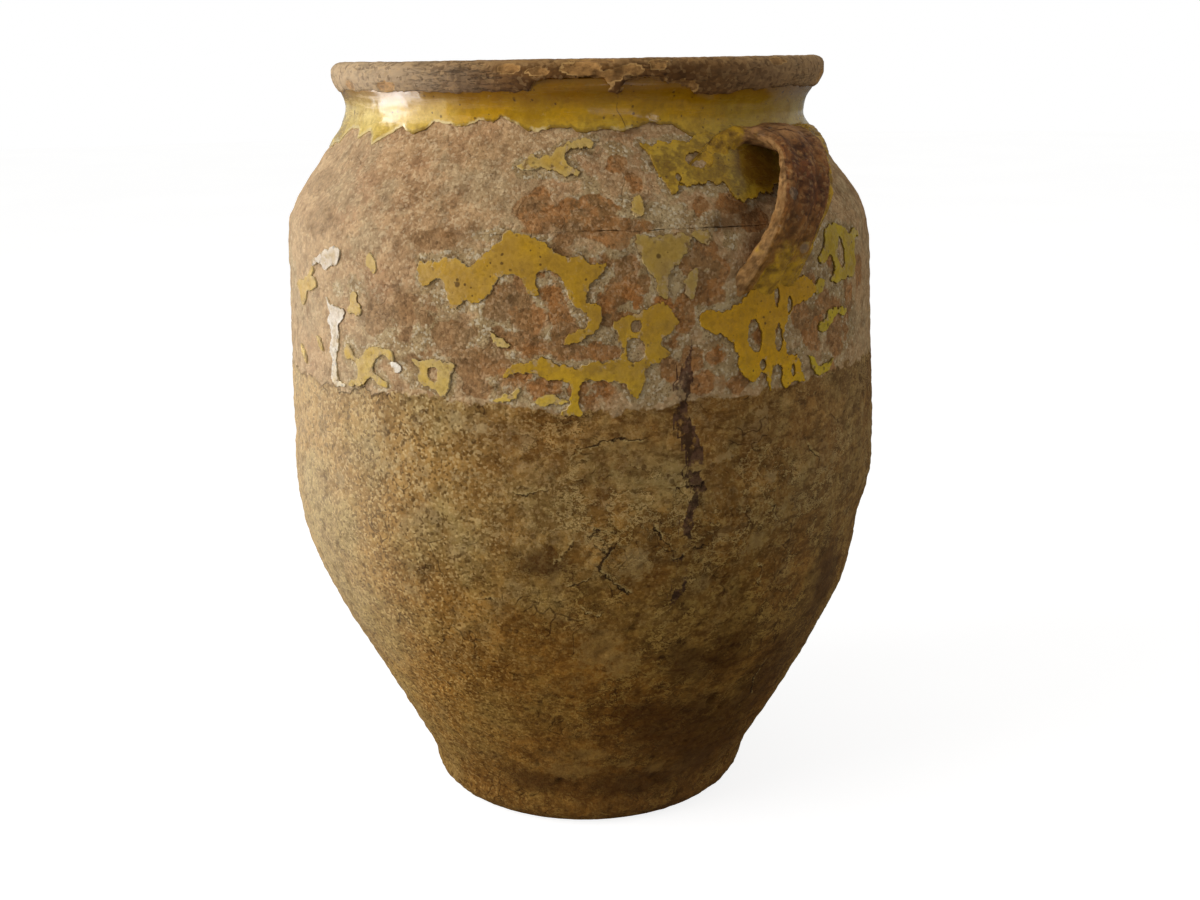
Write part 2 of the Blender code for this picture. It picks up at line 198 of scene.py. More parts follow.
def distance_to(sheet, outline, reach=6.0):
    """How far each point of the sheet lies from an outline of (degrees, height in mm) corners.
    Points outside the outline's box, with reach round it, count as far off."""
    corners = np.array([(t * MM_PER_DEGREE, h) for t, h in outline + outline[:1]])
    boxed = np.all((sheet > corners.min(axis=0) - reach) & (sheet < corners.max(axis=0) + reach), axis=1)
    spots = sheet[boxed]
    nearest = np.full(len(spots), 1e9)
    for a, b in zip(corners, corners[1:]):
        span = b - a
        share = np.clip((spots - a) @ span / max(span @ span, 1e-9), 0, 1)
        nearest = np.minimum(nearest, np.hypot(*(spots - a - share[:, None] * span).T))
    result = np.full(len(sheet), 1e9)
    result[boxed] = nearest
    return result


def ovals(sheet, marks):
    """Soft ovals of (degrees, height, half width, half height): 0.5 on their edge."""
    share = np.zeros(len(sheet))
    for turn, height, half_width, half_height in marks:
        reach = np.hypot((sheet[:, 0] - turn * MM_PER_DEGREE) / half_width,
                         (sheet[:, 1] - height) / half_height)
        share = np.maximum(share, np.clip(1.5 - reach, 0, 1))
    return share


def drawn_lines(sheet, paths, reach=4.0):
    """For lines too thin for the mesh, which the material draws: each vertex gets its distance in
    mm from the nearest line, below 0 on the line's right, and that line's half width in mm."""
    side, width = np.full(len(sheet), reach), np.full(len(sheet), -1.0)
    for path in paths:
        corners = np.array([(t * MM_PER_DEGREE, h, half_width) for t, h, half_width in path])
        low, high = corners[:, :2].min(axis=0) - reach, corners[:, :2].max(axis=0) + reach
        near = np.flatnonzero(np.all((sheet > low) & (sheet < high), axis=1))
        for a, b in zip(corners, corners[1:]):
            span = b[:2] - a[:2]
            share = np.clip((sheet[near] - a[:2]) @ span / (span @ span), 0, 1)
            away = sheet[near] - a[:2] - share[:, None] * span
            far = np.hypot(*away.T)
            closer = far < np.abs(side[near])
            left = span[0] * away[:, 1] - span[1] * away[:, 0] > 0
            side[near[closer]] = np.where(left, far, -far)[closer]
            width[near[closer]] = (a[2] + share * (b[2] - a[2]))[closer]
    return side, width


# %% [markdown]
# ## Outlines of the glaze that is left
#
# Every flake was drawn from the photograph as (degrees, height in millimetres). The far side of
# the pot isn't in the photograph, so it gets the same kind of shapes, turned round the pot.

# %% Outlines on the photographed side
DRAPE = [
    (-72.5, 248), (-72, 250), (-68, 251), (-65, 251), (-63, 248.5), (-61, 252), (-59, 256), (-57.3, 258),
    (-57, 260.5), (-53.5, 260), (-50, 257.3), (-48, 253.5), (-46, 252), (-44, 252.5), (-43, 250),
    (-40, 250), (-40.5, 247), (-42, 244), (-43, 241.5), (-43.5, 236), (-41.3, 235), (-41, 229),
    (-42, 226), (-44, 223), (-47.2, 221), (-46.4, 225), (-43.8, 226.6), (-43.2, 229), (-43.4, 232.5),
    (-45.2, 234.4), (-46, 237), (-47, 242), (-48, 246), (-50, 247.4), (-51.6, 246), (-51.6, 242),
    (-51.2, 238.5), (-53, 239.4), (-54, 244.5), (-56, 246), (-58, 245), (-59, 240.5), (-61, 236.6),
    (-62.5, 235.4), (-64, 236.5), (-65.5, 233), (-67, 234.4), (-67.2, 239), (-68, 243), (-69.2, 244),
    (-71, 241), (-72, 241), (-72.8, 244)]
TONGUE = [
    (-39, 229), (-36, 231), (-33, 233.4), (-30.6, 235.4), (-29, 231), (-28, 228), (-29, 225), (-31, 222),
    (-31, 219.4), (-29.5, 216), (-33, 213), (-34, 209), (-35, 201), (-36, 201.4), (-37.5, 206.6),
    (-41, 208), (-44.4, 207.4), (-45.1, 200), (-44.3, 195.4), (-46.5, 195), (-48, 195.4), (-46.4, 200),
    (-46.6, 207.4), (-50, 208), (-52, 210.6), (-55, 211), (-57.4, 208.8), (-56.2, 213), (-53, 215.2),
    (-50, 216), (-48, 213.2), (-43.5, 213.6), (-39, 215), (-37.4, 219), (-38.4, 223)]
TONGUE_HOLES = [(-35.3, 227.0, 2.2, 2.4), (-35.4, 218.6, 4.0, 4.4)]
ISLAND = [
    (-35, 259.3), (-31, 258.7), (-27, 259.3), (-22, 259.6), (-22, 254.5), (-23.5, 255), (-25, 257.4),
    (-26, 252), (-28.4, 248), (-29.7, 244), (-29.6, 239), (-30, 236), (-31.5, 238.5), (-31.7, 243),
    (-33.2, 247), (-34.6, 253)]
ISLAND_SLIVERS = [
    [(-26.6, 243), (-25.2, 246), (-24.4, 246.4), (-24.6, 241.6), (-25.4, 235.6), (-26.5, 237)]]
UNDER_HANDLE = [
    (-24.4, 229.4), (-22.5, 231), (-20, 229.6), (-17, 232), (-14, 237), (-8, 240), (-2, 240), (1.6, 235),
    (-1, 230), (-5, 228), (-6.8, 222), (-7, 216.5), (-6, 210.5), (-3.8, 210.5), (-3, 205), (-1.8, 199.6),
    (-4, 200.2), (-7.2, 198.8), (-7.6, 203), (-7.4, 206), (-8.4, 208), (-9.8, 206.6), (-10, 202),
    (-10.3, 198.2), (-11, 203.4), (-12.2, 206), (-13.6, 202.6), (-16, 205.6), (-17, 209.4), (-17, 214),
    (-18.5, 219), (-20, 221.6), (-22, 222.6), (-24.2, 226)]
UNDER_HANDLE_HOLES = [
    (-13.5, 219.5, 3.0, 6.4), (-8.2, 217.5, 1.8, 5.6), (-11.9, 208.4, 1.7, 2.2), (-5.6, 229.4, 1.3, 3.6),
    (-8.6, 233.5, 1.2, 3.8), (-4.9, 204.6, 1.1, 2.4)]
HOOK = [
    (6, 255.6), (11, 256), (14, 254), (20, 252), (20.4, 249.4), (17.6, 249.6), (16.6, 236.4), (12, 235),
    (8, 234.4), (6.2, 236), (8, 239), (8, 242.6), (6.8, 245.6), (5, 243.6), (3.4, 242.6), (2.6, 245),
    (4, 247.6), (5, 250.4)]
HOOK_HOLES = [(10.6, 245.2, 3.1, 6.6)]
HOOK_CRUMBS = [
    [(2, 218), (3, 221), (7, 225.4), (12, 223.4), (11.5, 221), (8, 222), (6, 219), (4, 216.6)],
    [(-1, 209), (1, 207), (2, 204), (5, 204), (7, 205.4), (5, 201), (2, 200), (0.8, 202.4)],
    [(0.6, 233.6), (2.2, 237.2), (4.2, 236.8), (3.6, 233), (2, 231.8)]]
LOW_RUN = [
    [(-90.1, 216.1), (-88.8, 214.2), (-88.0, 211.5), (-87.0, 211.1), (-85.7, 212.8), (-84.6, 215.3),
     (-82.9, 216.8), (-81.1, 216.6), (-79.3, 216.4), (-78.4, 215.2), (-78.2, 212.3), (-79.1, 212.3),
     (-79.8, 213.5), (-80.9, 213.9), (-82.0, 212.4), (-83.0, 210.1), (-83.3, 208.2), (-82.9, 206.5),
     (-81.7, 205.6), (-80.8, 204.6), (-79.7, 203.5), (-79.9, 201.6), (-81.1, 201.7), (-82.3, 202.7),
     (-83.1, 204.4), (-84.1, 204.4), (-84.9, 203.1), (-86.0, 201.1), (-87.5, 200.0), (-89.9, 199.6),
     (-89.4, 201.7), (-88.0, 202.6), (-87.3, 204.2), (-87.1, 206.9), (-87.6, 208.8), (-88.9, 209.9),
     (-90.6, 210.0), (-90.9, 212.4)],
    [(-74.3, 213.8), (-72.3, 213.4), (-70.4, 214.4), (-68.7, 214.3), (-68.2, 213.2), (-66.4, 213.4),
     (-66, 211.8), (-66.8, 208.5), (-67.1, 204.9), (-67.8, 200.8), (-69.1, 201.3), (-69.8, 203),
     (-71.9, 203.9), (-73.1, 206.9), (-72.8, 209.2), (-73, 210.5), (-73.8, 211.8)],
    [(-59.4, 200.6), (-56.6, 202.6), (-54.8, 205.4), (-55.2, 201.4), (-57.6, 199.6)],
    [(-52.4, 200), (-50.6, 202.8), (-48.6, 202.6), (-46.6, 200), (-50, 199)],
    [(-59.6, 225.6), (-58.2, 223.4), (-56, 220.4), (-57.6, 219.8), (-59.2, 221.6)]]
LOW_RUN_HOLES = [(-70.2, 208.7, 2.2, 2.8)]
SHOULDER_FLAKE = [
    (-56.5, 283), (-53, 286), (-50, 286.2), (-49, 288), (-47, 290), (-43, 292), (-41, 290.4),
    (-42, 288.4), (-45, 288.3), (-47, 286.3), (-46.5, 283.4), (-44.6, 281.4), (-44, 280), (-46.5, 279),
    (-49, 281), (-52, 282), (-54, 281.4)]
SEAM_FLAKE = [(-35, 265.6), (-33, 265.8), (-32.7, 270), (-33.6, 272.6), (-35, 270)]
NECK_RUN = [
    (-31.4, 290), (-30, 286), (-29, 280), (-27.6, 274.4), (-27, 272), (-26, 273), (-25, 276),
    (-23, 274.4), (-21, 275.8), (-16, 275.4), (-15, 272.4), (-14, 269), (-9, 270), (-4, 272), (2, 271),
    (8, 271), (14, 274), (22, 279), (27, 285), (29, 292), (20, 293.6), (0, 293.6), (-15, 293.6),
    (-18.6, 291.8), (-21, 289.3), (-23.5, 290.6), (-28, 289.4)]
NECK_RUN_HOLES = [(-19.2, 283.2, 7.4, 2.9), (-24.9, 277.6, 1.2, 1.3)]
BLEACHED_CHIPS = [            # the thin flakes on the far left that have gone white
    [(-98.9, 247.6), (-97.8, 249.3), (-96.0, 250.7), (-94.0, 252.2), (-92.5, 252.1), (-91.6, 250.8),
     (-91.8, 248.6), (-92.4, 246.3), (-93.3, 244.9), (-95.3, 244.2), (-96.4, 242.7), (-97.4, 243.3),
     (-97.7, 244.5), (-99.1, 244.9), (-101.0, 243.3), (-101.5, 244.8), (-100.9, 246.3)],
    [(-96.6, 232.4), (-94, 229.4), (-91.3, 229.2), (-90.7, 227.1), (-91.6, 224.3), (-92.5, 222.6),
     (-92.7, 219.2), (-92.4, 215.5), (-93.1, 212.3), (-93.6, 209.1), (-93.3, 205.4), (-93.5, 202.2),
     (-92.5, 200.6), (-90.8, 199.6), (-91.8, 198.5), (-94, 198.8), (-95.6, 200.5), (-95.1, 204.9),
     (-94.9, 208.8), (-95.8, 211.1), (-95.1, 215.5), (-95.2, 220), (-96.2, 223.5), (-95.3, 226.8)],
    [(-78.9, 211.6), (-77.6, 211.7), (-76.8, 210.8), (-76.5, 209), (-77.3, 207.8), (-78.3, 208.6)]]
LEFT_CRUMBS = [
    [(-101.6, 243.2), (-100.9, 241.2), (-101.8, 239.3), (-100.5, 238.6), (-100.3, 234.9), (-104.2, 232.4),
     (-105, 229.1), (-106.4, 226.6), (-107.9, 227.5), (-108.1, 231.7), (-110.6, 233.7), (-108.7, 235.8),
     (-105.2, 237.5), (-102.9, 240)],
    [(-83.3, 251.8), (-82.6, 250), (-81.8, 248.4), (-81.9, 244.8), (-82.5, 243.8), (-83.3, 245.7),
     (-84.3, 246.9), (-84.1, 249.5)],
    [(-88.1, 236.1), (-87, 236), (-86.7, 232.8), (-86, 231.8), (-85.9, 228.5), (-87.1, 227.0),
     (-87.9, 228.1), (-89.5, 227.7), (-89.6, 229.6), (-88.7, 232), (-88.8, 234.5)],
    [(-109.4, 210), (-107.4, 208.4), (-106.2, 205.6), (-106.2, 202.9), (-107.5, 204.6), (-108.8, 206.9)],
    [(-100.9, 215.9), (-99.1, 215.1), (-98.1, 210.6), (-99.6, 211.9)]]

# %% [markdown]
# ## The clay and its crust
#
# Both thrown sections are made by spinning a section round the axis with a fine mesh, and then
# pushing each vertex along the wall's normal. Above the dip line the clay is bare and only a
# little rough. Below it, a crust of dried fat and dust stands proud, with pits and small plates.
# The depth of each vertex is kept as the attribute `hollow`, so that the pits can be darkened.

# %% Where the clay changes
DIP_LINE = [                  # (degrees, height in millimetres) of the lower limit of the glaze
    (-180, 199), (-150, 197), (-120, 198.5), (-94, 197.6), (-81, 199.7), (-72, 200.5), (-58, 198.6),
    (-46, 196), (-35, 196.4), (-24, 198), (-10, 198.4), (-1, 199.4), (11, 200.6), (45, 199), (90, 201),
    (130, 197), (180, 199)]
ORANGE_SPOTS = [              # bare orange clay, mostly small round flake scars
    (-44, 267, 13, 5.0), (-52, 268, 7, 6), (-40, 262, 15, 3.6), (-47, 258, 5, 2), (-36.5, 283, 4, 3),
    (-34, 277, 3, 3), (-38, 258, 5, 3), (-33.5, 256, 3, 2.5), (-36.5, 247, 5, 4.6), (-34, 241, 3.2, 3.2),
    (-60, 243, 4, 4), (-54, 243.5, 3.6, 4), (-57, 236, 8, 6), (-53, 231, 6, 6), (-48, 232, 3.6, 4.2),
    (-62, 214, 12, 5), (-56, 222, 8, 3), (-47, 226, 4.5, 4.5), (-40, 233, 4, 6), (-38, 240, 5, 4),
    (-52, 220, 9, 2.6), (-46, 218, 8, 3), (-41, 218, 5, 3), (-26, 247, 3, 4), (-24, 240, 5, 6),
    (-23, 252, 5, 5), (-20.5, 245, 4, 5), (-21, 236, 5, 4), (-27, 230, 4, 6), (-29, 210, 4, 4),
    (-25.5, 214, 4, 4), (-17, 203, 5, 3), (-24, 205, 5, 4), (-10, 222, 4, 4), (-3, 226, 5, 5),
    (0, 219, 5, 6), (4, 228, 5, 4), (8, 214, 6, 8), (1, 212, 4, 3), (-12, 262, 6, 4), (-16, 268, 7, 3.4),
    (-22, 268, 4, 2.5), (14, 226, 4, 6), (-45, 204, 4, 3.6), (-51, 205, 6, 4), (-41, 204.5, 4, 3),
    (-38, 211, 3, 2), (-66, 224, 8, 5), (-75, 232, 7, 6), (-82, 228, 6, 6), (-70, 258, 10, 4),
    (-100, 262, 12, 6), (-110, 275, 14, 5), (-84, 206.5, 3, 2.4), (-62, 205, 5, 4), (20, 236, 5, 6),
    (40, 240, 6, 5), (52, 226, 8, 7), (66, 247, 10, 5), (84, 214, 8, 6), (98, 236, 6, 8),
    (112, 262, 10, 5), (126, 244, 7, 6), (139, 222, 8, 8), (150, 250, 9, 4), (163, 236, 6, 7),
    (170, 212, 6, 5), (-172, 246, 9, 6), (-160, 226, 7, 6), (-148, 258, 9, 4), (-136, 238, 6, 6),
    (-124, 218, 8, 6)]
SLIP_PATCHES = [              # pale grey slip that stayed on the clay when the glaze left
    (-30, 265, 14, 5), (-24, 263, 12, 3.5), (-38, 254, 8, 3.4), (-33, 250, 5, 6), (-27, 252, 4, 7),
    (-40, 224, 4, 6), (-41, 211, 9, 4), (-32, 205, 8, 7), (-50, 219.5, 9, 1.6), (-63, 220, 7, 8),
    (-76, 214, 4, 5), (-75, 206, 4, 4), (-60, 207, 4, 5), (-18, 256, 4, 4), (-24, 232, 5, 5),
    (-18, 273, 8, 2.6), (-42, 276, 5, 3), (-36, 270, 6, 4), (-29, 282, 6, 3.4), (-36, 288, 8, 3),
    (3, 250, 4, 8), (7, 230, 5, 4), (14, 214, 6, 5), (-2, 213, 4, 3), (-20, 217, 4, 5), (-13, 246, 5, 3),
    (-69, 236, 4, 3), (-88, 238, 5, 5), (-80, 223, 6, 5), (-93, 236, 4, 4), (-60, 261, 6, 2),
    (-13.5, 219.5, 3.6, 7.0), (-8.2, 217.5, 2.4, 6.2), (-11.9, 208.4, 2.3, 2.8), (-5.6, 229.4, 1.9, 4.2),
    (-8.6, 233.5, 1.8, 4.4), (-4.9, 204.6, 1.8, 3.0), (60, 262, 14, 4), (104, 226, 12, 6),
    (132, 208, 10, 5), (158, 262, 12, 4), (-166, 214, 9, 6), (-140, 246, 8, 6), (36, 214, 8, 6),
    (78, 234, 6, 6), (-115, 236, 7, 7), (176, 258, 8, 4)]
PALE_SCUFFS = [               # worn or chalky places on the crust and on the far left
    (-36.2, 138, 6, 7), (-33, 118, 1.4, 1.2), (-34, 110.5, 1.6, 1.2), (-13, 140, 5, 4), (-50, 32, 15, 5),
    (-44, 42, 11, 3), (-60, 34, 3, 2), (-42, 100, 10, 9), (-37, 92, 7, 6), (-34, 34, 5, 2),
    (-24, 30, 6, 3), (-94, 160, 4, 3), (-20, 176, 6, 2), (-12, 190, 4, 2), (-58, 130, 3, 1.5),
    (-62, 190, 5, 1.4), (-54, 176, 6, 1.4), (-10, 165, 3, 3), (30, 60, 9, 4), (96, 84, 12, 7),
    (140, 40, 9, 5), (-170, 120, 12, 6), (-140, 70, 8, 6), (62, 150, 8, 4)]
DARK_STAINS_AND_STRAP_SHADE = [               # where smoke and damp darkened the crust, and painted shadow under the strap's root
    (-24, 90, 10, 9), (-22, 55, 30, 16), (-8, 42, 34, 22), (-32, 60, 14, 12), (-52, 139, 9, 6),
    (-30, 22, 40, 9), (-15, 88, 16, 14), (4, 66, 24, 28), (-60, 24, 30, 6), (12, 110, 14, 16),
    # the first three on the next line are painted shadow on the clay under the right strap's root
    (-18, 262, 8, 3), (-13, 266, 9, 4), (-6, 275, 12, 6), (50, 50, 30, 20), (100, 30, 30, 12),
    (160, 44, 34, 20), (-130, 30, 26, 9), (76, 120, 16, 20), (-160, 84, 20, 18)]
DARK_RUN = [                  # (degrees, height, half width in mm) along the run of dark fat
    [(-26, 217.6, 0.2), (-26.6, 209.3, 2.6), (-27.5, 202.1, 2.9), (-27.7, 197.7, 2.5),
     (-27.4, 191.6, 3.0), (-26.7, 187, 2.9), (-25.7, 181.5, 3.2), (-25.2, 175.4, 3.1),
     (-26.1, 170.3, 2.6), (-24.7, 166.1, 2.5), (-24.9, 161.6, 1.9), (-26.1, 158, 1.4),
     (-26.7, 154.6, 1.1), (-26.6, 152, 1.8), (-26.9, 149, 1.5), (-26.5, 145.5, 1.0), (-26.9, 142.4, 0.9),
     (-27.3, 139.2, 1.2), (-26.9, 135, 1.0), (-26.6, 131, 1.3), (-27.2, 127, 2.0), (-27.9, 123, 2.2),
     (-28.8, 118.6, 1.1), (-30, 112, -0.6)]]
CRACKS = [                    # the same, for cracks in the crust. The plate's edge is on their left
    [(-32, 185.8, -0.4), (-35, 185.8, 0.2), (-38, 185.6, 0.3), (-40.6, 185.2, 0.2), (-43, 183.9, 0.3),
     (-44.9, 182.9, 0.1), (-46.3, 180.7, 0.3), (-47.3, 178.1, -0.4)],
    [(-30.6, 166.9, -0.3), (-29.3, 165.7, 0.3), (-27.2, 166.4, 0.2), (-24.4, 166.9, 0.3),
     (-23, 166.4, -0.3)],
    [(-38.2, 147.5, -0.3), (-39.6, 145.7, 0.2), (-40.6, 143.3, 0.4), (-41.3, 140.1, 0.6),
     (-42, 137.2, 0.5), (-41.6, 134.2, 0.2), (-40.2, 131.9, 0.3), (-39.2, 129.6, 0.2),
     (-38.2, 127.0, 0.4), (-37, 125.5, 0.3), (-35.7, 125.1, -0.4)],
    [(-32.8, 153.6, -0.3), (-32.5, 151.5, 0.4), (-31.8, 148, 0.2), (-30.3, 144.5, 0.1),
     (-29.6, 141.4, 0.2), (-28, 140.4, -0.3)],
    [(-21, 142, -0.4), (-22.6, 141.9, 0.1), (-24.5, 142.1, 0.3), (-25.5, 141.0, 0.1),
     (-25.4, 138.1, -0.3)],
    [(-46, 122.6, -0.3), (-45.2, 118.8, 0.1), (-43.4, 116.1, 0.3), (-42, 115.5, 0.1),
     (-40.6, 118.2, -0.3)],
    [(-1.3, 81.4, -0.3), (-2, 74.9, 0.3), (-2.6, 71.1, 0.4), (-0.3, 62.2, 0.2), (0.6, 58, -0.3)],
    [(-2.4, 178.4, -0.3), (-0.1, 171.5, 0.2), (2.3, 166.5, 0.1), (1.9, 158, -0.3)],
    [(-58, 166.6, -0.3), (-54.4, 165.2, 0.2), (-51.6, 166.8, 0.1), (-49.4, 165.8, -0.3)],
    [(-66, 121, -0.3), (-61.6, 122.4, 0.2), (-59.8, 119.4, -0.3)],
    [(-13, 131, -0.3), (-10.6, 127.6, 0.3), (-11, 121.4, 0.1), (-8.6, 117, -0.3)],
    [(-12, 156.4, -0.3), (-9.4, 153, 0.2), (-9.8, 147.4, -0.3)],
    [(44, 150, -0.3), (48, 138, 0.3), (47, 124, 0.2), (52, 112, -0.3)],
    [(120, 170, -0.3), (124, 150, 0.3), (121, 134, 0.2), (127, 118, -0.3)],
    [(78, 160, -0.3), (86, 157.4, 0.3), (94, 159.6, 0.2), (99, 157, -0.3)],
    [(-150, 150, -0.3), (-144, 146, 0.3), (-141, 136, -0.3)],
    [(-178, 104, -0.3), (-171, 100, 0.3), (-166, 103, 0.1), (-160, 97, -0.3)]]
MORE_CRACKS = [               # those that meet one of the cracks above
    [(-44.3, 149.3, -0.3), (-43.4, 149.9, 0.2), (-42.5, 152.4, 0.7), (-41.5, 151, 0.5),
     (-40.2, 150.6, 0.4), (-38.6, 150.3, -0.3)],
    [(-42.9, 147.4, -0.3), (-42.6, 145.4, 0.4), (-41.4, 143.0, 0.5), (-40.9, 141.6, -0.3)],
    [(-50.4, 136.6, -0.3), (-49, 139.5, 0.1), (-47.6, 142.8, 0.1), (-46.6, 146.5, 0.1),
     (-46, 151.4, -0.3)],
    [(-49, 129.6, -0.3), (-47.4, 129.0, 0.1), (-45.7, 129.6, 0.2), (-44.1, 131.6, 0.2),
     (-42.9, 133.6, -0.3)],
    [(-30, 137.6, -0.3), (-28.6, 138, 0.3), (-27.3, 139.2, 0.4), (-26, 140.2, -0.3)],
    [(-46.9, 176.6, -0.3), (-44.6, 177.8, 0.1), (-42, 179.6, -0.3)]]
PITS = [                      # (degrees, height, half width, half height) of deep small holes
    (-73, 131.5, 2.2, 1.8), (-75, 127, 2.6, 2.4), (-49, 120, 1.5, 1.4), (-44, 141, 1.8, 1.2),
    (-36, 110, 1.6, 1.4), (-23, 128, 1.4, 1.4), (-14, 66, 2.4, 2.6), (-10, 60, 2, 1.6),
    (-17, 44, 2.2, 1.6), (-60, 34, 1.6, 1.4), (-54, 24, 2.2, 1.8), (-28, 171, 1.2, 1.0), (60, 90, 2, 2),
    (130, 150, 2.4, 2), (-170, 60, 2.4, 2.4)]
SCABBY = [                    # where the glaze came off in round scabs
    (-54, 234, 30, 22), (-34, 236, 30, 26), (-46, 212, 30, 14), (-14, 222, 24, 22), (8, 226, 20, 28),
    (-40, 268, 20, 8), (-74, 226, 12, 14), (60, 236, 40, 22), (112, 230, 40, 26), (158, 238, 40, 22),
    (-160, 232, 36, 24), (-124, 240, 24, 18)]
# painted shade in the hollow under each strap's root, laid on the glaze there
SHADE_UNDER_STRAPS = [(-5, 279, 13, 9), (-2, 272, 10, 7), (175, 279, 13, 9), (178, 272, 10, 7)]
RIGHT_NOTCH = [(43, 124, 22, 9), (47, 131, 12, 4)]
NOTCH_DEPTH = 1.3 * MM

# %% The seam between the two thrown sections
SEAM_LINE = [                 # (degrees, height in millimetres)
    (-180, 261), (-90, 260.6), (-60, 259.9), (-52, 260.2), (-46, 261), (-40, 261.2), (-34, 260.4),
    (-30, 260.7), (-25, 260.5), (-20, 260.4), (-12, 260), (-4, 259.8), (40, 260.6), (180, 261)]
SEAM_OPEN = [                 # (degrees, how wide the seam gapes in millimetres)
    (-180, 0.03), (-62, 0.03), (-57, 0.2), (-53, 0.05), (-46, 0.1), (-40, 0.3), (-36, 0.1), (-31, 0.36),
    (-26, 0.2), (-22, 0.36), (-12, 0.3), (-8, 0.05), (60, 0.03), (70, 0.3), (84, 0.3), (92, 0.03),
    (180, 0.03)]
SEAM_REACH = 9 * MM           # the seam's own shape fades out over this height


def along(table, turn):
    return np.interp(turn, [t for t, value in table], [value for t, value in table])


def follow_seam(turn, height, side):
    """Bend the rows next to the joint so that they end on the seam's line. Side is -1 or 1."""
    edge = ring_points(turn, np.zeros(len(turn)), BELLY_RADIUS)
    crumble = clouds(edge, 4 * MM, 20 + side, 4) * 0.5 * (0.15 + along(SEAM_OPEN, turn))
    target = (along(SEAM_LINE, turn) + crumble + side * along(SEAM_OPEN, turn) / 2) * MM
    near = np.clip(1 - np.abs(height - LUTING_HEIGHT) / SEAM_REACH, 0, 1) ** 2
    return height + (target - LUTING_HEIGHT) * near


# %% Spinning a section
def evenly(curve, spacing):
    """The same curve, cut into equal steps of about a given length."""
    curve = np.array(curve)
    walked = np.concatenate([[0], np.cumsum(np.hypot(*np.diff(curve, axis=0).T))])
    stops = np.linspace(0, walked[-1], max(2, ceil(walked[-1] / spacing)) + 1)
    return list(zip(np.interp(stops, walked, curve[:, 0]), np.interp(stops, walked, curve[:, 1])))


def spun(section, columns, closed=True):
    """Spin a section of (radius, height) round the axis and return its bmesh."""
    bm = bmesh.new()
    corners = [bm.verts.new((radius, 0, height)) for radius, height in section]
    edges = [bm.edges.new(pair) for pair in zip(corners, corners[1:])]
    if closed and section[0][0] > 0:
        edges.append(bm.edges.new((corners[-1], corners[0])))
    bmesh.ops.spin(bm, geom=corners + edges, cent=(0, 0, 0), axis=(0, 0, 1), angle=2 * pi,
                   steps=columns, use_merge=True)
    bmesh.ops.remove_doubles(bm, verts=bm.verts, dist=1e-7)
    if closed:
        bmesh.ops.recalc_face_normals(bm, faces=bm.faces)
    return bm


def extruded(bm):
    """Extrude all faces of a sheet and give the vertices of its upper side."""
    raised = bmesh.ops.extrude_face_region(bm, geom=bm.faces[:])["geom"]
    return {g for g in raised if isinstance(g, bmesh.types.BMVert)}


def finished(name, bm, sharp=60):
    """Turn a bmesh into an object that is shaded smooth."""
    mesh = bpy.data.meshes.new(name)
    bm.to_mesh(mesh)
    bm.free()
    mesh.shade_smooth()
    mesh.set_sharp_from_angle(angle=radians(sharp))
    made = bpy.data.objects.new(name, mesh)
    bpy.context.scene.collection.objects.link(made)
    return made


def corners_of(mesh):
    places = np.empty(len(mesh.vertices) * 3)
    mesh.vertices.foreach_get("co", places)
    return places.reshape(-1, 3)


def round_the_axis(places):
    """Degrees from +X, radius and height of each point."""
    turn = np.degrees(np.arctan2(places[:, 1], places[:, 0]))
    return turn, np.hypot(places[:, 0], places[:, 1]), places[:, 2]


def move_corners(mesh, places):
    mesh.vertices.foreach_set("co", places.astype(np.float32).ravel())
    mesh.update()


def store(mesh, name, values):
    """Keep one number for each vertex, for a material to read."""
    layer = mesh.attributes.new(name, "FLOAT", "POINT")
    layer.data.foreach_set("value", np.asarray(values, np.float32))


def stored(mesh, name):
    values = np.empty(len(mesh.vertices), np.float32)
    mesh.attributes[name].data.foreach_get("value", values)
    return values


def store_lines(mesh, name, sheet, paths):
    side, width = drawn_lines(sheet, paths)
    store(mesh, name + "_side", side)
    store(mesh, name + "_width", width)


# %% The clay's relief and marks
GLAZE_OUTLINES = [DRAPE, TONGUE, ISLAND, UNDER_HANDLE, HOOK, SHOULDER_FLAKE, NECK_RUN] + LOW_RUN
BARE_DEPTH = 0.30 * MM        # how far the bare clay lies under the glaze's own level
GRAIN_DEPTH = 0.26 * MM
CRUST_DEPTH = 0.55 * MM
PIT_DEPTH = 1.2 * MM


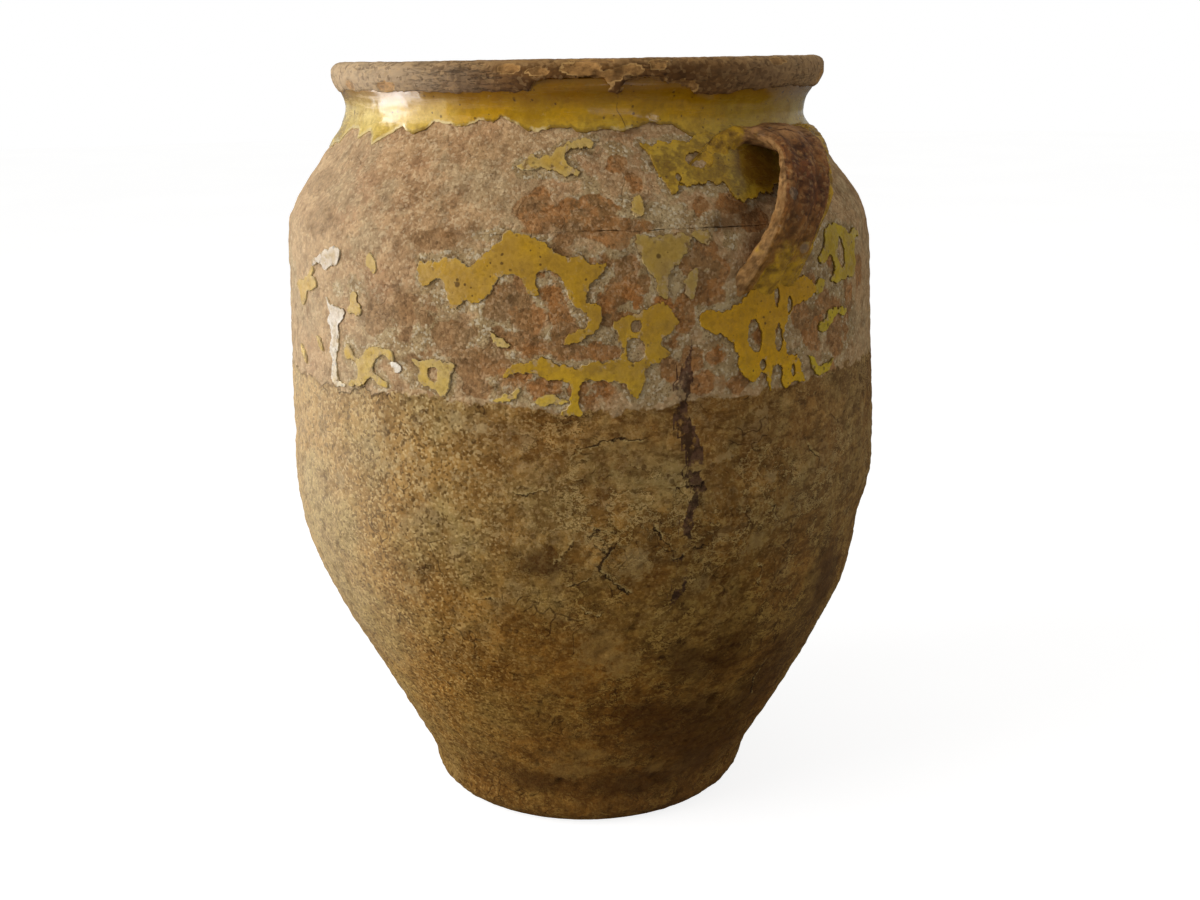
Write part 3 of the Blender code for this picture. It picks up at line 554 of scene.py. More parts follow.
def clay_marks(mesh, turn, height, points):
    """Work out how deep each vertex of the outside lies, and store the marks that colour it."""
    sheet = unroll(turn, height)
    frayed = sheet + np.column_stack([clouds(points, 7 * MM, 4), clouds(points, 7 * MM, 5)]) * 1.6
    crust = ease(-2.0, 2.0, along(DIP_LINE, turn) + 2.2 * clouds(points, 6 * MM, 6) - sheet[:, 1])
    pits = ovals(frayed, PITS)
    orange = ovals(frayed, ORANGE_SPOTS)
    fine = clouds(points, 4.2 * MM, 7, 5)
    coarse = clouds(points, 11 * MM, 8, 4)
    scars = ease(-0.05, 0.08, clouds(points, 16 * MM, 9, 5))
    bare = BARE_DEPTH + GRAIN_DEPTH * (0.6 - fine * 0.7 - coarse * 0.4) + 0.12 * MM * scars
    crusted = CRUST_DEPTH * (0.55 - 0.60 * fine - 0.50 * coarse) + 0.18 * MM * scars
    depth = np.maximum(bare * (1 - crust) + crusted * crust, 0.02 * MM)
    depth += ease(0.2, 0.9, pits) * PIT_DEPTH + 0.12 * MM * ease(0.3, 0.7, orange)
    depth += NOTCH_DEPTH * ease(0.35, 0.6, ovals(frayed, RIGHT_NOTCH))
    halo = np.zeros(len(turn))
    for outline in GLAZE_OUTLINES:
        halo = np.maximum(halo, np.clip(1.35 - distance_to(frayed, outline) / 2.6, 0, 1))
    store(mesh, "crust", crust)
    store(mesh, "orange", orange)
    store(mesh, "slip", np.maximum(ovals(frayed, SLIP_PATCHES), halo) * (1 - crust))
    for name, marks in (("scuff", PALE_SCUFFS), ("dark", DARK_STAINS_AND_STRAP_SHADE), ("scabby", SCABBY)):
        store(mesh, name, ovals(frayed, marks))
    for name, paths in (("run", DARK_RUN), ("crack", CRACKS), ("more", MORE_CRACKS)):
        store_lines(mesh, name, sheet, paths)
    store(mesh, "hollow", np.clip(0.5 - 0.5 * fine - 0.25 * coarse + pits, 0, 1))
    return depth


# %% Wearing a thrown section
def worn_section(name, section, columns, side):
    """Spin a section and wear its outside. Side is -1 below the seam and 1 above it."""
    made = finished(name, spun(section, columns))
    places = corners_of(made.data)
    turn, radius, height = round_the_axis(places)
    depth = clay_marks(made.data, turn, height, places)
    outer = (radius > wall_radius(height) - 0.2 * MM) & (height > 0)
    worn = skin(turn, follow_seam(turn, height, side), -depth * ease(0, 3 * MM, height))
    move_corners(made.data, np.where(outer[:, None], worn, places))
    return made


SEAM_CORNER = (wall_radius(LUTING_HEIGHT), LUTING_HEIGHT)


# %% The lower section
LOWER_ROW, LOWER_COLUMNS = 1.62 * MM, 512


def lower_section():
    outside = [(r, h) for h, r in WALL if h < LUTING_HEIGHT] + [SEAM_CORNER]
    inside = [(max(r - WALL_THICKNESS, 0), h) for r, h in outside if h > FLOOR_HEIGHT + 6 * MM][::-1]
    underside = evenly([(0, 0), (FOOT_FLAT - 2 * MM, 0)], 16 * MM)
    floor = [(inside[-1][0] - 5 * MM, FLOOR_HEIGHT), (0, FLOOR_HEIGHT)]
    section = underside + evenly(outside, LOWER_ROW) + evenly(inside, 30 * MM) + floor
    return worn_section("lower_section", section, LOWER_COLUMNS, -1)


lower = lower_section()
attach(lower, "root")
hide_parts("lower_body")
print("lower section:", len(lower.data.polygons), "faces")


# %% The upper section
UPPER_ROW, UPPER_COLUMNS = 1.05 * MM, 640


def upper_section():
    outside = [SEAM_CORNER] + [(r, h) for h, r in WALL if LUTING_HEIGHT < h]
    inside = [(r - WALL_THICKNESS, h) for r, h in outside][::-1]
    section = evenly(outside, UPPER_ROW) + evenly(inside, 9 * MM)
    return worn_section("upper_section", section, UPPER_COLUMNS, 1)


upper = upper_section()
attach(upper, "root")
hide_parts("upper_body")
print("upper section:", len(upper.data.polygons), "faces")

# %% [markdown]
# ## The rolled collar
#
# The potter folded the wet edge outwards and pressed it down, so the collar is a thick roll with
# a slightly sharper lower lip. It takes all the knocks. Chips are cut by pushing the vertices
# inside a few soft ovals back towards the roll's middle.

# %% The collar and its chips
COLLAR_SECTION = [            # (radius, height) in millimetres, round the roll from the inside out
    (93.2, 313.0), (93.0, 310.4), (96.4, 309.4), (100.2, 309.0), (101.6, 310.4), (102.6, 312.4),
    (103.2, 315.0), (102.6, 317.6), (100.8, 319.4), (98.0, 320.0), (95.6, 319.6), (93.9, 318.0),
    (93.2, 315.6)]
COLLAR_MIDDLE = (98.0 * MM, 314.6 * MM)
COLLAR_GRAIN, COLLAR_LUMPS = 0.11 * MM, 0.24 * MM     # how deep the roll's surface is worn
COLLAR_CHIPS = [              # (degrees, height in mm, half width, half height in mm, depth in mm)
    (-50, 310.2, 6, 3.2, 3.4), (-45, 310.4, 7, 3.0, 3.4), (-40.6, 310.0, 5, 3.4, 3.2),
    (-32, 310.0, 5, 3.0, 3.0), (-28, 310.0, 4.4, 2.8, 2.8), (-22, 309.6, 6, 2.2, 2.2),
    (-43.6, 316.6, 7, 2.6, 0.9), (-38, 313.4, 7, 2.4, 0.8), (-27.4, 317.6, 3.6, 1.8, 0.8),
    (-34, 315.8, 5, 2.2, 0.6), (-42, 320.4, 10, 2.2, 1.0), (-52, 315.6, 4, 1.6, 0.5),
    (-58, 317.0, 4, 1.6, 0.6), (-90, 310.6, 5, 1.6, 0.7), (-106, 311, 4, 1.5, 0.6),
    (4, 318.0, 5, 1.5, 0.5), (30, 312, 6, 2.4, 1.0), (64, 317, 7, 2.2, 1.0), (80, 310.2, 8, 2.8, 2.6),
    (92, 312.6, 8, 3.0, 1.4), (131, 316.8, 5, 2.0, 0.8), (160, 311.8, 7, 2.6, 1.2),
    (-168, 317.4, 5, 1.8, 0.7), (-140, 312.6, 6, 2.6, 1.1)]
COLLAR_SKIRT = [              # (degrees, how far the clay hangs below the roll, in mm)
    (-180, 0.6), (-150, 1.4), (-120, 0.2), (-100, 0.6), (-84, 0.4), (-66, 0.7), (-57, 1.0), (-53, 0.6),
    (-44, -0.6), (-38, 0.6), (-36, 2.2), (-34, 0.2), (-30, -0.4), (-24, 0.4), (-19, 2.0), (-14, 3.2),
    (-11, 3.0), (-7, 1.8), (0, 1.6), (12, 0.8), (40, 1.2), (70, 0.2), (110, 1.6), (150, 0.4), (180, 0.6)]


def rolled_collar():
    ring = [(r * MM, h * MM) for r, h in smooth_through(COLLAR_SECTION + COLLAR_SECTION[:1], 6)]
    section = evenly(ring, 0.8 * MM)[:-1]
    made = finished("collar", spun(section, 720))
    places = corners_of(made.data)
    turn, radius, height = round_the_axis(places)
    drawn_out = places * (1, 1, 2.6)
    fine, coarse = clouds(drawn_out, 3.4 * MM, 11, 5), clouds(drawn_out, 13 * MM, 12, 3)
    cut = COLLAR_GRAIN * (0.6 - fine) + COLLAR_LUMPS * (0.6 - coarse)
    chipped = np.zeros(len(turn))
    arc = turn * radians(1) * COLLAR_RADIUS / MM
    for chip_turn, chip_height, half_width, half_height, depth in COLLAR_CHIPS:
        reach = np.hypot((arc - chip_turn * radians(1) * COLLAR_RADIUS / MM) / half_width,
                         (height / MM - chip_height) / half_height) + 0.30 * coarse + 0.22 * fine
        chip = ease(1.10, 0.86, reach) * (radius > 97 * MM)
        chipped = np.maximum(chipped, chip)
        cut = cut + chip * depth * MM * (0.75 + 0.35 * coarse)
    outward = np.column_stack([radius - COLLAR_MIDDLE[0], height - COLLAR_MIDDLE[1]])
    outward /= np.maximum(np.hypot(*outward.T), 1e-6)[:, None]
    low = ease(312.0 * MM, 309.4 * MM, height) * (radius > 96 * MM)
    drop = (along(COLLAR_SKIRT, turn) + 0.5 * coarse + 0.35 * fine) * MM * low
    radius = radius - cut * outward[:, 0] - drop * 0.55 * (1 - chipped)
    height = np.minimum(height - cut * outward[:, 1] - drop, POT_HEIGHT)
    drift = DRIFT[-1][1] * MM * np.cos(np.radians(turn - CAMERA_TURN - 90))
    move_corners(made.data, ring_points(turn, height, np.minimum(radius + drift * 0.6, COLLAR_RADIUS)))
    store(made.data, "chip", chipped)
    store(made.data, "hollow", np.clip(0.5 - 0.6 * fine - 0.3 * coarse, 0, 1))
    return made


collar = rolled_collar()
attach(collar, "root")
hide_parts("rolled_collar")
print("collar:", len(collar.data.polygons), "faces")

# %% [markdown]
# ## Flakes of glaze
#
# A flake is a thin plate with a crumbly outline, a rounded upper edge and its own height above
# the clay. It is drawn flat, on the unrolled wall: the outline is broken into small steps, filled
# with faces, and cut into cells so that it can bend. The faces are then inset to make the rim,
# extruded to give the plate its thickness, and at last every vertex is laid on the wall's skin.

# %% Drawing a flake flat
CRUMBLE_STEP = 0.8 * MM
CRUMBLE_BEND = 0.26
CELL = 3.0 * MM
RIM = 0.22 * MM               # width of the rounded edge
RIM_LIFT = 0.04 * MM
PLATE_LIFT = 0.26 * MM
PLATE_BASE = -0.55 * MM       # the plate's underside, sunk in the clay


def on_sheet(turn, height):
    return Vector((radians(turn) * BELLY_RADIUS, height * MM, 0))


def crosses_itself(points):
    """Whether any two steps of a closed outline cross."""
    a = np.array([p[:2] for p in points])
    b = np.roll(a, -1, axis=0)

    def side(p, q, r):
        return np.sign((q[..., 0] - p[..., 0]) * (r[..., 1] - p[..., 1])
                       - (q[..., 1] - p[..., 1]) * (r[..., 0] - p[..., 0]))

    first, second = a[:, None], b[:, None]
    apart = side(first, second, a[None]) * side(first, second, b[None]) < 0
    return bool(np.any(apart & apart.T))


def crumbled(corners, rng):
    """Round off a closed outline, then break every long step of it in two until all are short."""
    around = [tuple(on_sheet(*c)[:2]) for c in corners]
    closed = around[-1:] + around + around[:2]
    start = [Vector((x, y, 0)) for x, y in smooth_through(closed, 2)[2:-3]]
    points, bend = start, CRUMBLE_BEND
    while True:
        finer = []
        for a, b in zip(points, points[1:] + points[:1]):
            finer.append(a)
            step = b - a
            if step.length > CRUMBLE_STEP:
                aside = Vector((-step.y, step.x, 0)) * rng.uniform(-bend, bend)
                finer.append((a + b) / 2 + aside)
        if len(finer) > len(points):
            points = finer
        elif crosses_itself(points) and bend > 0.01:
            points, bend = start, bend * 0.6
        else:
            return points


def oval_corners(turn, height, half_width, half_height, rng):
    """Eight uneven corners round a hole, half sizes in millimetres."""
    corners = []
    for k in range(8):
        stretch = rng.uniform(0.82, 1.15)
        corners.append((turn + stretch * half_width * cos(k * pi / 4) / MM_PER_DEGREE,
                        height + stretch * half_height * sin(k * pi / 4)))
    return corners


def add_loop(bm, points):
    corners = [bm.verts.new(p) for p in points]
    return [bm.edges.new(pair) for pair in zip(corners, corners[1:] + corners[:1])]


def cut_into_cells(bm):
    """Cut the flat plate along a grid of straight lines."""
    for axis in (0, 1):
        low = min(v.co[axis] for v in bm.verts)
        high = max(v.co[axis] for v in bm.verts)
        normal = Vector((1, 0, 0)) if axis == 0 else Vector((0, 1, 0))
        for k in range(1, ceil((high - low) / CELL)):
            geom = bm.verts[:] + bm.edges[:] + bm.faces[:]
            bmesh.ops.bisect_plane(bm, geom=geom, plane_co=normal * (low + k * CELL), plane_no=normal)


def plate(name, outlines, holes=(), seed=1, shift=(0, 0, 1), lift=PLATE_LIFT):
    """Make one piece of glaze from its outlines. Shift turns, raises and mirrors it."""
    turn_by, raise_by, mirror = shift
    rng = random.Random(seed)
    whole = bmesh.new()
    for outline in outlines:
        bm = bmesh.new()
        placed = [(turn_by + mirror * t, h + raise_by) for t, h in outline]
        edges = add_loop(bm, crumbled(placed, rng))
        turns = [t for t, h in outline]
        heights = [h for t, h in outline]
        for t, h, half_width, half_height in holes:
            if min(turns) < t < max(turns) and min(heights) < h < max(heights):
                hole = oval_corners(turn_by + mirror * t, h + raise_by, half_width, half_height, rng)
                edges += add_loop(bm, crumbled(hole, rng))
        bmesh.ops.triangle_fill(bm, use_beauty=True, edges=edges)
        cut_into_cells(bm)
        part = bpy.data.meshes.new("part")
        bm.to_mesh(part)
        bm.free()
        whole.from_mesh(part)
        bpy.data.meshes.remove(part)
    return thickened(name, whole, lift, seed)


MARGIN = 3.0 * MM             # a flake is worn this far in from its edge


def from_edge(flat, border):
    """How far each point lies from a set of points on the border: 0 on it, 1 from MARGIN on."""
    near = np.full(len(flat), MARGIN)
    for start in range(0, len(border), 50):
        gaps = flat[:, None, :2] - border[None, start:start + 50, :2]
        near = np.minimum(near, np.sqrt((gaps ** 2).sum(axis=2)).min(axis=1))
    return near / MARGIN


def thickened(name, bm, lift, seed):
    """Give a flat plate its rim and its thickness, then lay it on the pot."""
    bmesh.ops.inset_region(bm, faces=bm.faces, use_boundary=True, use_even_offset=False, thickness=RIM)
    rim = bm.verts.layers.float.new("rim")
    for vertex in bm.verts:
        on_edge = any(e.is_boundary for e in vertex.link_edges)
        vertex[rim] = 1.0 if on_edge else 0.0
        vertex.co.z = RIM_LIFT if on_edge else lift
    above = extruded(bm)
    for vertex in bm.verts:
        if vertex not in above:
            vertex.co.z = PLATE_BASE
    bmesh.ops.triangulate(bm, faces=bm.faces)
    bmesh.ops.recalc_face_normals(bm, faces=bm.faces)
    made = finished(name, bm, 28)
    flat = corners_of(made.data)
    turn, height = np.degrees(flat[:, 0] / BELLY_RADIUS), flat[:, 1]
    store(made.data, "margin", from_edge(flat, flat[stored(made.data, "rim") > 0.5]))
    store(made.data, "shade_under_strap", ovals(unroll(turn, height), SHADE_UNDER_STRAPS))
    ripple = clouds(flat, 5 * MM, seed, 2) * 0.05 * MM * (flat[:, 2] > 0)
    move_corners(made.data, skin(turn, height, flat[:, 2] + ripple))
    return made


# %% The flakes
glaze_pieces = []


def add_plate(name, node, *args, **kwargs):
    """Make one piece of glaze, which takes the place of a node or, with None, stands beside them."""
    made = plate(name, *args, **kwargs)
    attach(made, "root")
    if node:
        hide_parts(node)
    glaze_pieces.append(made)
    print(name, len(made.data.polygons), "faces")


BEHIND = 180.0
add_plate("drape", "glaze_drape", [DRAPE], seed=2)
add_plate("tongue", "glaze_tongue", [TONGUE], TONGUE_HOLES, seed=3)
add_plate("island", "glaze_island", [ISLAND] + ISLAND_SLIVERS, seed=4)
add_plate("under_handle", "glaze_under_handle", [UNDER_HANDLE], UNDER_HANDLE_HOLES, seed=5)
add_plate("hook", "glaze_hook", [HOOK] + HOOK_CRUMBS, HOOK_HOLES, seed=6)
add_plate("low_run", "glaze_low_run", LOW_RUN, LOW_RUN_HOLES, seed=7)
add_plate("shoulder_flakes", None, [SHOULDER_FLAKE, SEAM_FLAKE] + LEFT_CRUMBS, seed=8)
add_plate("bleached_chips", None, BLEACHED_CHIPS, seed=9, lift=0.16 * MM)
add_plate("back_drape", "glaze_back_drape", [DRAPE], seed=12, shift=(64, 1, -1))
add_plate("back_tongue", "glaze_back_tongue", [TONGUE], TONGUE_HOLES, seed=13, shift=(30, 1, -1))
add_plate("under_back_handle", "glaze_under_back_handle", [UNDER_HANDLE], UNDER_HANDLE_HOLES, seed=15,
          shift=(BEHIND, 0.5, 1))
add_plate("back_hook", "glaze_back_hook", [HOOK] + HOOK_CRUMBS, HOOK_HOLES, seed=16, shift=(-154, 1, 1))

# %% [markdown]
# ## The glaze round the neck
#
# Here the coat is still whole: a glossy band from under the collar to a ragged lower edge. A band
# closes on itself, so it is spun, and each column of it is then stretched between its own top and
# bottom. The pool of glaze that runs down to the handle has islands of bare clay in it, so that
# one is drawn flat like the flakes.

# %% The band
NECK_EDGE = [                 # (degrees, height in millimetres) of its lower edge
    (-180, 290), (-172, 287), (-163, 292), (-155, 289), (-146, 293), (-138, 288), (-131, 291),
    (-124, 286), (-117, 289), (-114.6, 288), (-113.5, 290), (-112, 294), (-106, 295), (-104.6, 294),
    (-103, 291.2), (-102, 292), (-98.5, 294), (-96.6, 292), (-95, 289), (-91, 293), (-87, 296),
    (-83.5, 293), (-78, 297.6), (-75, 297.8), (-70.5, 296), (-65.5, 298.6), (-63, 298), (-61, 300.6),
    (-59, 298), (-55, 295), (-47, 296), (-43, 294), (-39, 295), (-35, 295), (-31, 295.4), (-27, 297),
    (-23, 295), (-20.6, 293), (-18, 291), (-10, 290), (10, 290), (24, 290), (34, 288), (43, 291),
    (52, 287), (60, 292), (70, 295), (79, 291), (90, 294), (101, 288), (112, 292), (124, 296), (136, 290),
    (146, 293), (158, 289), (170, 290), (180, 290)]
NECK_TOP = 313.0 * MM         # behind the collar, to show where its lip is chipped
NECK_CRACKS = [
    [(-36.2, 311, 0.1), (-35.6, 306, 0.14), (-35.9, 302, 0.08), (-34.8, 299, 0.14), (-33.8, 295, 0.1)]]


def neck_band():
    """Spin a band of height 1, thicken it, and lay it between its two edges on the wall."""
    rows, columns = 16, 960
    bm = spun([(BELLY_RADIUS, 1 - k / rows) for k in range(rows + 1)], columns, closed=False)
    rim = bm.verts.layers.float.new("rim")
    base = bm.verts.layers.float.new("base")
    for vertex in bm.verts:
        vertex[rim] = ease(2.2 / rows, 0.2 / rows, vertex.co.z)
    above = extruded(bm)
    for vertex in bm.verts:
        vertex[base] = 0.0 if vertex in above else 1.0
    for vertex in above:
        vertex.co.xy *= 2         # the two sides stand apart while it is found out which faces out
    bmesh.ops.recalc_face_normals(bm, faces=bm.faces)
    for vertex in above:
        vertex.co.xy /= 2
    made = finished("neck_coat", bm, 50)
    mesh = made.data
    turn, radius, share = round_the_axis(corners_of(mesh))
    edge_line = ring_points(turn, np.zeros(len(turn)), BELLY_RADIUS)
    low = along(NECK_EDGE, turn) * MM + clouds(edge_line, 9 * MM, 30, 5) * 0.9 * MM
    low += clouds(edge_line, 2.2 * MM, 31, 3) * 0.30 * MM
    height = low + (NECK_TOP - low) * share ** 1.15
    is_base = stored(mesh, "base") > 0.5
    lift = np.where(is_base, PLATE_BASE, PLATE_LIFT + (RIM_LIFT - PLATE_LIFT) * stored(mesh, "rim"))
    ripple = clouds(ring_points(turn, height, BELLY_RADIUS), 6 * MM, 32, 3) * 0.05 * MM
    move_corners(mesh, skin(turn, height, lift + np.where(is_base, 0, ripple)))
    mesh.attributes.remove(mesh.attributes["base"])
    store(mesh, "margin", np.clip((height - low) / MARGIN, 0, 1))
    store_lines(mesh, "crack", unroll(turn, height), NECK_CRACKS)
    return made


neck = neck_band()
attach(neck, "root")
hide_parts("neck_glaze")
print("neck band:", len(neck.data.polygons), "faces")

neck_runs = [plate("neck_run", [NECK_RUN], NECK_RUN_HOLES, seed=21),
             plate("back_neck_run", [NECK_RUN], NECK_RUN_HOLES, seed=22, shift=(BEHIND, 0, 1))]
for run in neck_runs:
    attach(run, "root")

# %% [markdown]
# ## The strap handles
#
# A strap handle is pulled from a wet lump: it is stroked until it is a flat, grooved ribbon, and
# then pressed on. So it is lofted: a ring of vertices is extruded along the handle's curve, and
# every ring is laid on an oval section with raised edges and two finger grooves. The strap sits
# askew, with its foot further round the pot than its root, as on the real one.

# %% The strap's curve and section
STRAP_CURVE = [(91.0, 288.2), (110.0, 296.0), (149.0, 280.0), (118.6, 234.0)]
STRAP_TURN = (8.0, -11.0)     # degrees round the pot at its root and at its foot
STRAP_HALF_WIDTH, STRAP_HALF_DEPTH = 12.6, 4.7
STRAP_RINGS, STRAP_SIDES = 190, 96
STRAP_GRAIN, STRAP_LUMPS = 0.22, 0.50
ROOT_FLARE = 43.0             # how much wider the root is smeared along the neck, on its left side
ROOT_MIDDLE = 289.4           # height of that smear, and how far its ends droop
ROOT_ARCH = 9.0
STRAP_GROOVES = [(0.30, 0.17, 1.3), (-0.42, 0.15, 1.0)]   # (place across, half width, depth)
STRAP_RIDGES = [(-0.78, 0.12, 0.6), (0.84, 0.10, 0.5)]


def strap_middle(share):
    """The strap's centre line as (degrees, radius, height), the last two in millimetres."""
    q = 1 - share
    weights = (q ** 3, 3 * q * q * share, 3 * q * share * share, share ** 3)
    radius = sum(w * p[0] for w, p in zip(weights, STRAP_CURVE))
    height = sum(w * p[1] for w, p in zip(weights, STRAP_CURVE))
    return STRAP_TURN[0] * q + STRAP_TURN[1] * share, radius, height


def strap_place(share):
    turn, radius, height = strap_middle(share)
    return Vector((radius * cos(radians(turn)), radius * sin(radians(turn)), height)) * MM


def strap_directions(share):
    ahead, behind = strap_place(min(share + 0.02, 1)), strap_place(max(share - 0.02, 0))
    forward = (ahead - behind).normalized()
    turn = radians(strap_middle(share)[0])
    around = Vector((-sin(turn), cos(turn), 0))
    outward = forward.cross(around).normalized()
    if outward.dot(Vector((cos(turn), sin(turn), 1))) < 0:
        outward.negate()
    return outward.cross(forward).normalized(), outward


def strap_corner(share, angle):
    """One point of the strap's section, as (across, outward) in millimetres."""
    side = cos(angle)
    smear = ROOT_FLARE * exp(-(share / 0.20) ** 2) * (1 if side < 0 else 0.6)
    half_width = STRAP_HALF_WIDTH + smear + 3.6 * exp(-(1 - share) / 0.11)
    half_width += 0.9 * sin(19 * share + 2) * sin(pi * share)
    depth = STRAP_HALF_DEPTH * abs(sin(angle)) ** 0.95 * (1 if sin(angle) > 0 else -1)
    if sin(angle) > 0:
        depth -= sum(deep * exp(-((side - at) / wide) ** 2) for at, wide, deep in STRAP_GROOVES)
        depth += sum(high * exp(-((side - at) / wide) ** 2) for at, wide, high in STRAP_RIDGES)
    depth *= 1 + 0.10 * sin(7 * share + 1)
    return side * half_width, depth


def strap(name, half_turns):
    """Extrude a circle straight up, ring by ring, then lay each ring on the strap's curve."""
    bm = bmesh.new()
    layers = [bm.verts.layers.float.new(title) for title in ("along", "side", "outer", "spread")]
    bmesh.ops.create_circle(bm, segments=STRAP_SIDES, radius=1.0)
    edges = bm.edges[:]
    for k in range(STRAP_RINGS):
        grown = bmesh.ops.extrude_edge_only(bm, edges=edges)["geom"]
        corners = [g for g in grown if isinstance(g, bmesh.types.BMVert)]
        bmesh.ops.translate(bm, verts=corners, vec=(0, 0, 1))
        edges = [g for g in grown if isinstance(g, bmesh.types.BMEdge) and
                 all(v.co.z > k + 0.5 for v in g.verts)]
    bmesh.ops.holes_fill(bm, edges=[e for e in bm.edges if e.is_boundary], sides=0)
    shares = [k / STRAP_RINGS for k in range(STRAP_RINGS + 1)]
    rings = [(strap_place(share), *strap_directions(share)) for share in shares]
    smeared = []
    for v in bm.verts:
        share, angle = v.co.z / STRAP_RINGS, atan2(v.co.y, v.co.x)
        middle, across, outward = rings[round(v.co.z)]
        x, y = strap_corner(share, angle)
        spread = min(max((abs(x) - STRAP_HALF_WIDTH) / 12, 0), 1)
        for layer, value in zip(layers, (share, x / STRAP_HALF_WIDTH, sin(angle), spread)):
            v[layer] = value
        v.co = middle + (across * x + outward * y) * MM
        on_neck = ROOT_MIDDLE - ROOT_ARCH * (x / 45) ** 2 + 1.3 * y
        smeared.append((strap_middle(share)[0] + degrees(x / 96), on_neck * MM, (22 * share - 0.8) * MM,
                        ease(10, 26, abs(x)) * exp(-(share / 0.30) ** 2)))
    bmesh.ops.recalc_face_normals(bm, faces=bm.faces)
    made = finished(name, bm)
    places = corners_of(made.data)
    turn, height, lift, weight = np.array(smeared).T
    on_wall = skin(turn + 180 * half_turns, height, lift)
    if half_turns:
        on_wall[:, :2] *= -1
    places = places + (on_wall - places) * weight[:, None]
    fine, coarse = clouds(places, 3.2 * MM, 41, 5), clouds(places, 10 * MM, 42, 3)
    rough = (fine * STRAP_GRAIN + coarse * STRAP_LUMPS - 0.45) * MM
    move_corners(made.data, places)
    normals = np.array([v.normal[:] for v in made.data.vertices])
    places = places + normals * rough[:, None]
    store(made.data, "hollow", np.clip(0.5 - 0.6 * fine - 0.3 * coarse, 0, 1))
    if half_turns:
        places[:, :2] *= -1
    move_corners(made.data, places)
    return made


straps = [strap("strap_right", 0), strap("strap_left", 1)]
for made, node in zip(straps, ("handle_right", "handle_left")):
    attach(made, "root")
    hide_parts(node)
    print(made.name, len(made.data.polygons), "faces")

# %% [markdown]
# ## The lining
#
# The inside was glazed all over. From above one sees the potter's rings in it, a brown that
# deepens towards the floor, and fine crazing.

# %% The lining
LINING_TOP = 316.6 * MM
LINING_THICKNESS = 0.6 * MM


def lining():
    wall = [(r - WALL_THICKNESS - 0.3 * MM, h) for h, r in WALL if h > FLOOR_HEIGHT + 14 * MM]
    low_radius = wall[0][0]
    curve = [(0, FLOOR_HEIGHT + 0.4 * MM), (low_radius - 20 * MM, FLOOR_HEIGHT + 0.4 * MM),
             (low_radius - 6 * MM, FLOOR_HEIGHT + 5 * MM)]
    curve = smooth_through(curve + wall[::6] + [(92.6 * MM, 311 * MM), (92.6 * MM, LINING_TOP)], 3)
    back = evenly(curve, 3.6 * MM)
    face = [(max(r - LINING_THICKNESS, 0), h + (LINING_THICKNESS if r < low_radius else 0)) for r, h in back]
    made = finished("lining", spun(back + face[::-1], 216))
    places = corners_of(made.data)
    radius = np.hypot(places[:, 0], places[:, 1])
    rings = np.sin(2 * pi * places[:, 2] / (9 * MM) + 1.5 * clouds(places, 60 * MM, 51, 1)) * 0.25 * MM
    rings *= ease(20 * MM, 40 * MM, places[:, 2]) * ease(LINING_TOP, LINING_TOP - 12 * MM, places[:, 2])
    scale = 1 - np.abs(rings) / np.maximum(radius, 1 * MM)
    places[:, :2] *= scale[:, None]
    move_corners(made.data, places)
    return made


inner = lining()
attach(inner, "root")
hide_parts("glaze_lining")
print("lining:", len(inner.data.polygons), "faces")

# %% [markdown]
# ## Small helpers for materials
#
# A material is a tree of nodes. These helpers add a node to the tree that was opened last, and
# give what comes out of it as a wire. Wires can be added, subtracted and multiplied, and each sum
# adds its own node. Colours are given as the eye sees them, from 0 to 255, and are turned into
# the linear values that Blender mixes. `lay` puts colours over one another, each through its
# mask, so that every finish below reads like a list of layers.

# %% Adding and joining nodes
bench = {"tree": None}        # the tree that nodes are being added to


class Wire:
    """What comes out of a node."""

    def __init__(self, socket):
        self.socket = socket

    def __mul__(self, other):
        return maths("MULTIPLY", self, other)

    def __add__(self, other):
        return maths("ADD", self, other)

    def __sub__(self, other):
        return maths("SUBTRACT", self, other)

    def __rsub__(self, other):
        return maths("SUBTRACT", other, self)

    def __truediv__(self, other):
        return maths("DIVIDE", self, other)

    def __abs__(self):
        return maths("ABSOLUTE", self)


class Outputs:
    """All that a node gives. Each output is asked for by its name or number."""

    def __init__(self, made):
        self.sockets = made.outputs

    def __getitem__(self, name):
        return Wire(self.sockets[name])


def fill(sockets, inputs):
    """Set sockets by name or number, each to a value or to a wire."""
    for name, value in inputs.items():
        if isinstance(value, Wire):
            bench["tree"].links.new(value.socket, sockets[name])
        else:
            sockets[name].default_value = value


def add(kind, inputs=None, **settings):
    """Add a node to the open tree and give its outputs."""
    made = bench["tree"].nodes.new("ShaderNode" + kind)
    for name, value in settings.items():
        setattr(made, name, value)
    fill(made.inputs, inputs or {})
    return Outputs(made)


def maths(operation, *values):
    return add("Math", dict(enumerate(values)), operation=operation)[0]


def larger(first, second):
    return maths("MAXIMUM", first, second)


def step(value, low, high, top=1.0, bottom=0.0):
    """Turn a value between low and high into a smooth step from bottom to top."""
    inputs = {"Value": value, "From Min": low, "From Max": high, "To Min": bottom, "To Max": top}
    return add("MapRange", inputs, interpolation_type="SMOOTHSTEP")[0]


def linear(colour):
    """A colour from 0 to 255 as the linear values that Blender mixes. A wire stays as it is."""
    if isinstance(colour, Wire):
        return colour
    return tuple(((c / 255 + 0.055) / 1.055) ** 2.4 for c in colour) + (1.0,)


def blend(share, under, over, how="MIX"):
    """Mix two colours: share 0 shows the first, 1 the second."""
    inputs = {0: share, 6: linear(under), 7: linear(over)}
    return add("Mix", inputs, data_type="RGBA", blend_type=how)[2]


def lay(colour, *layers):
    """Lay colours over a colour. Each layer is its mask, its colour and, if need be, how it mixes."""
    for mask, over, *how in layers:
        colour = blend(mask, colour, over, *how)
    return colour


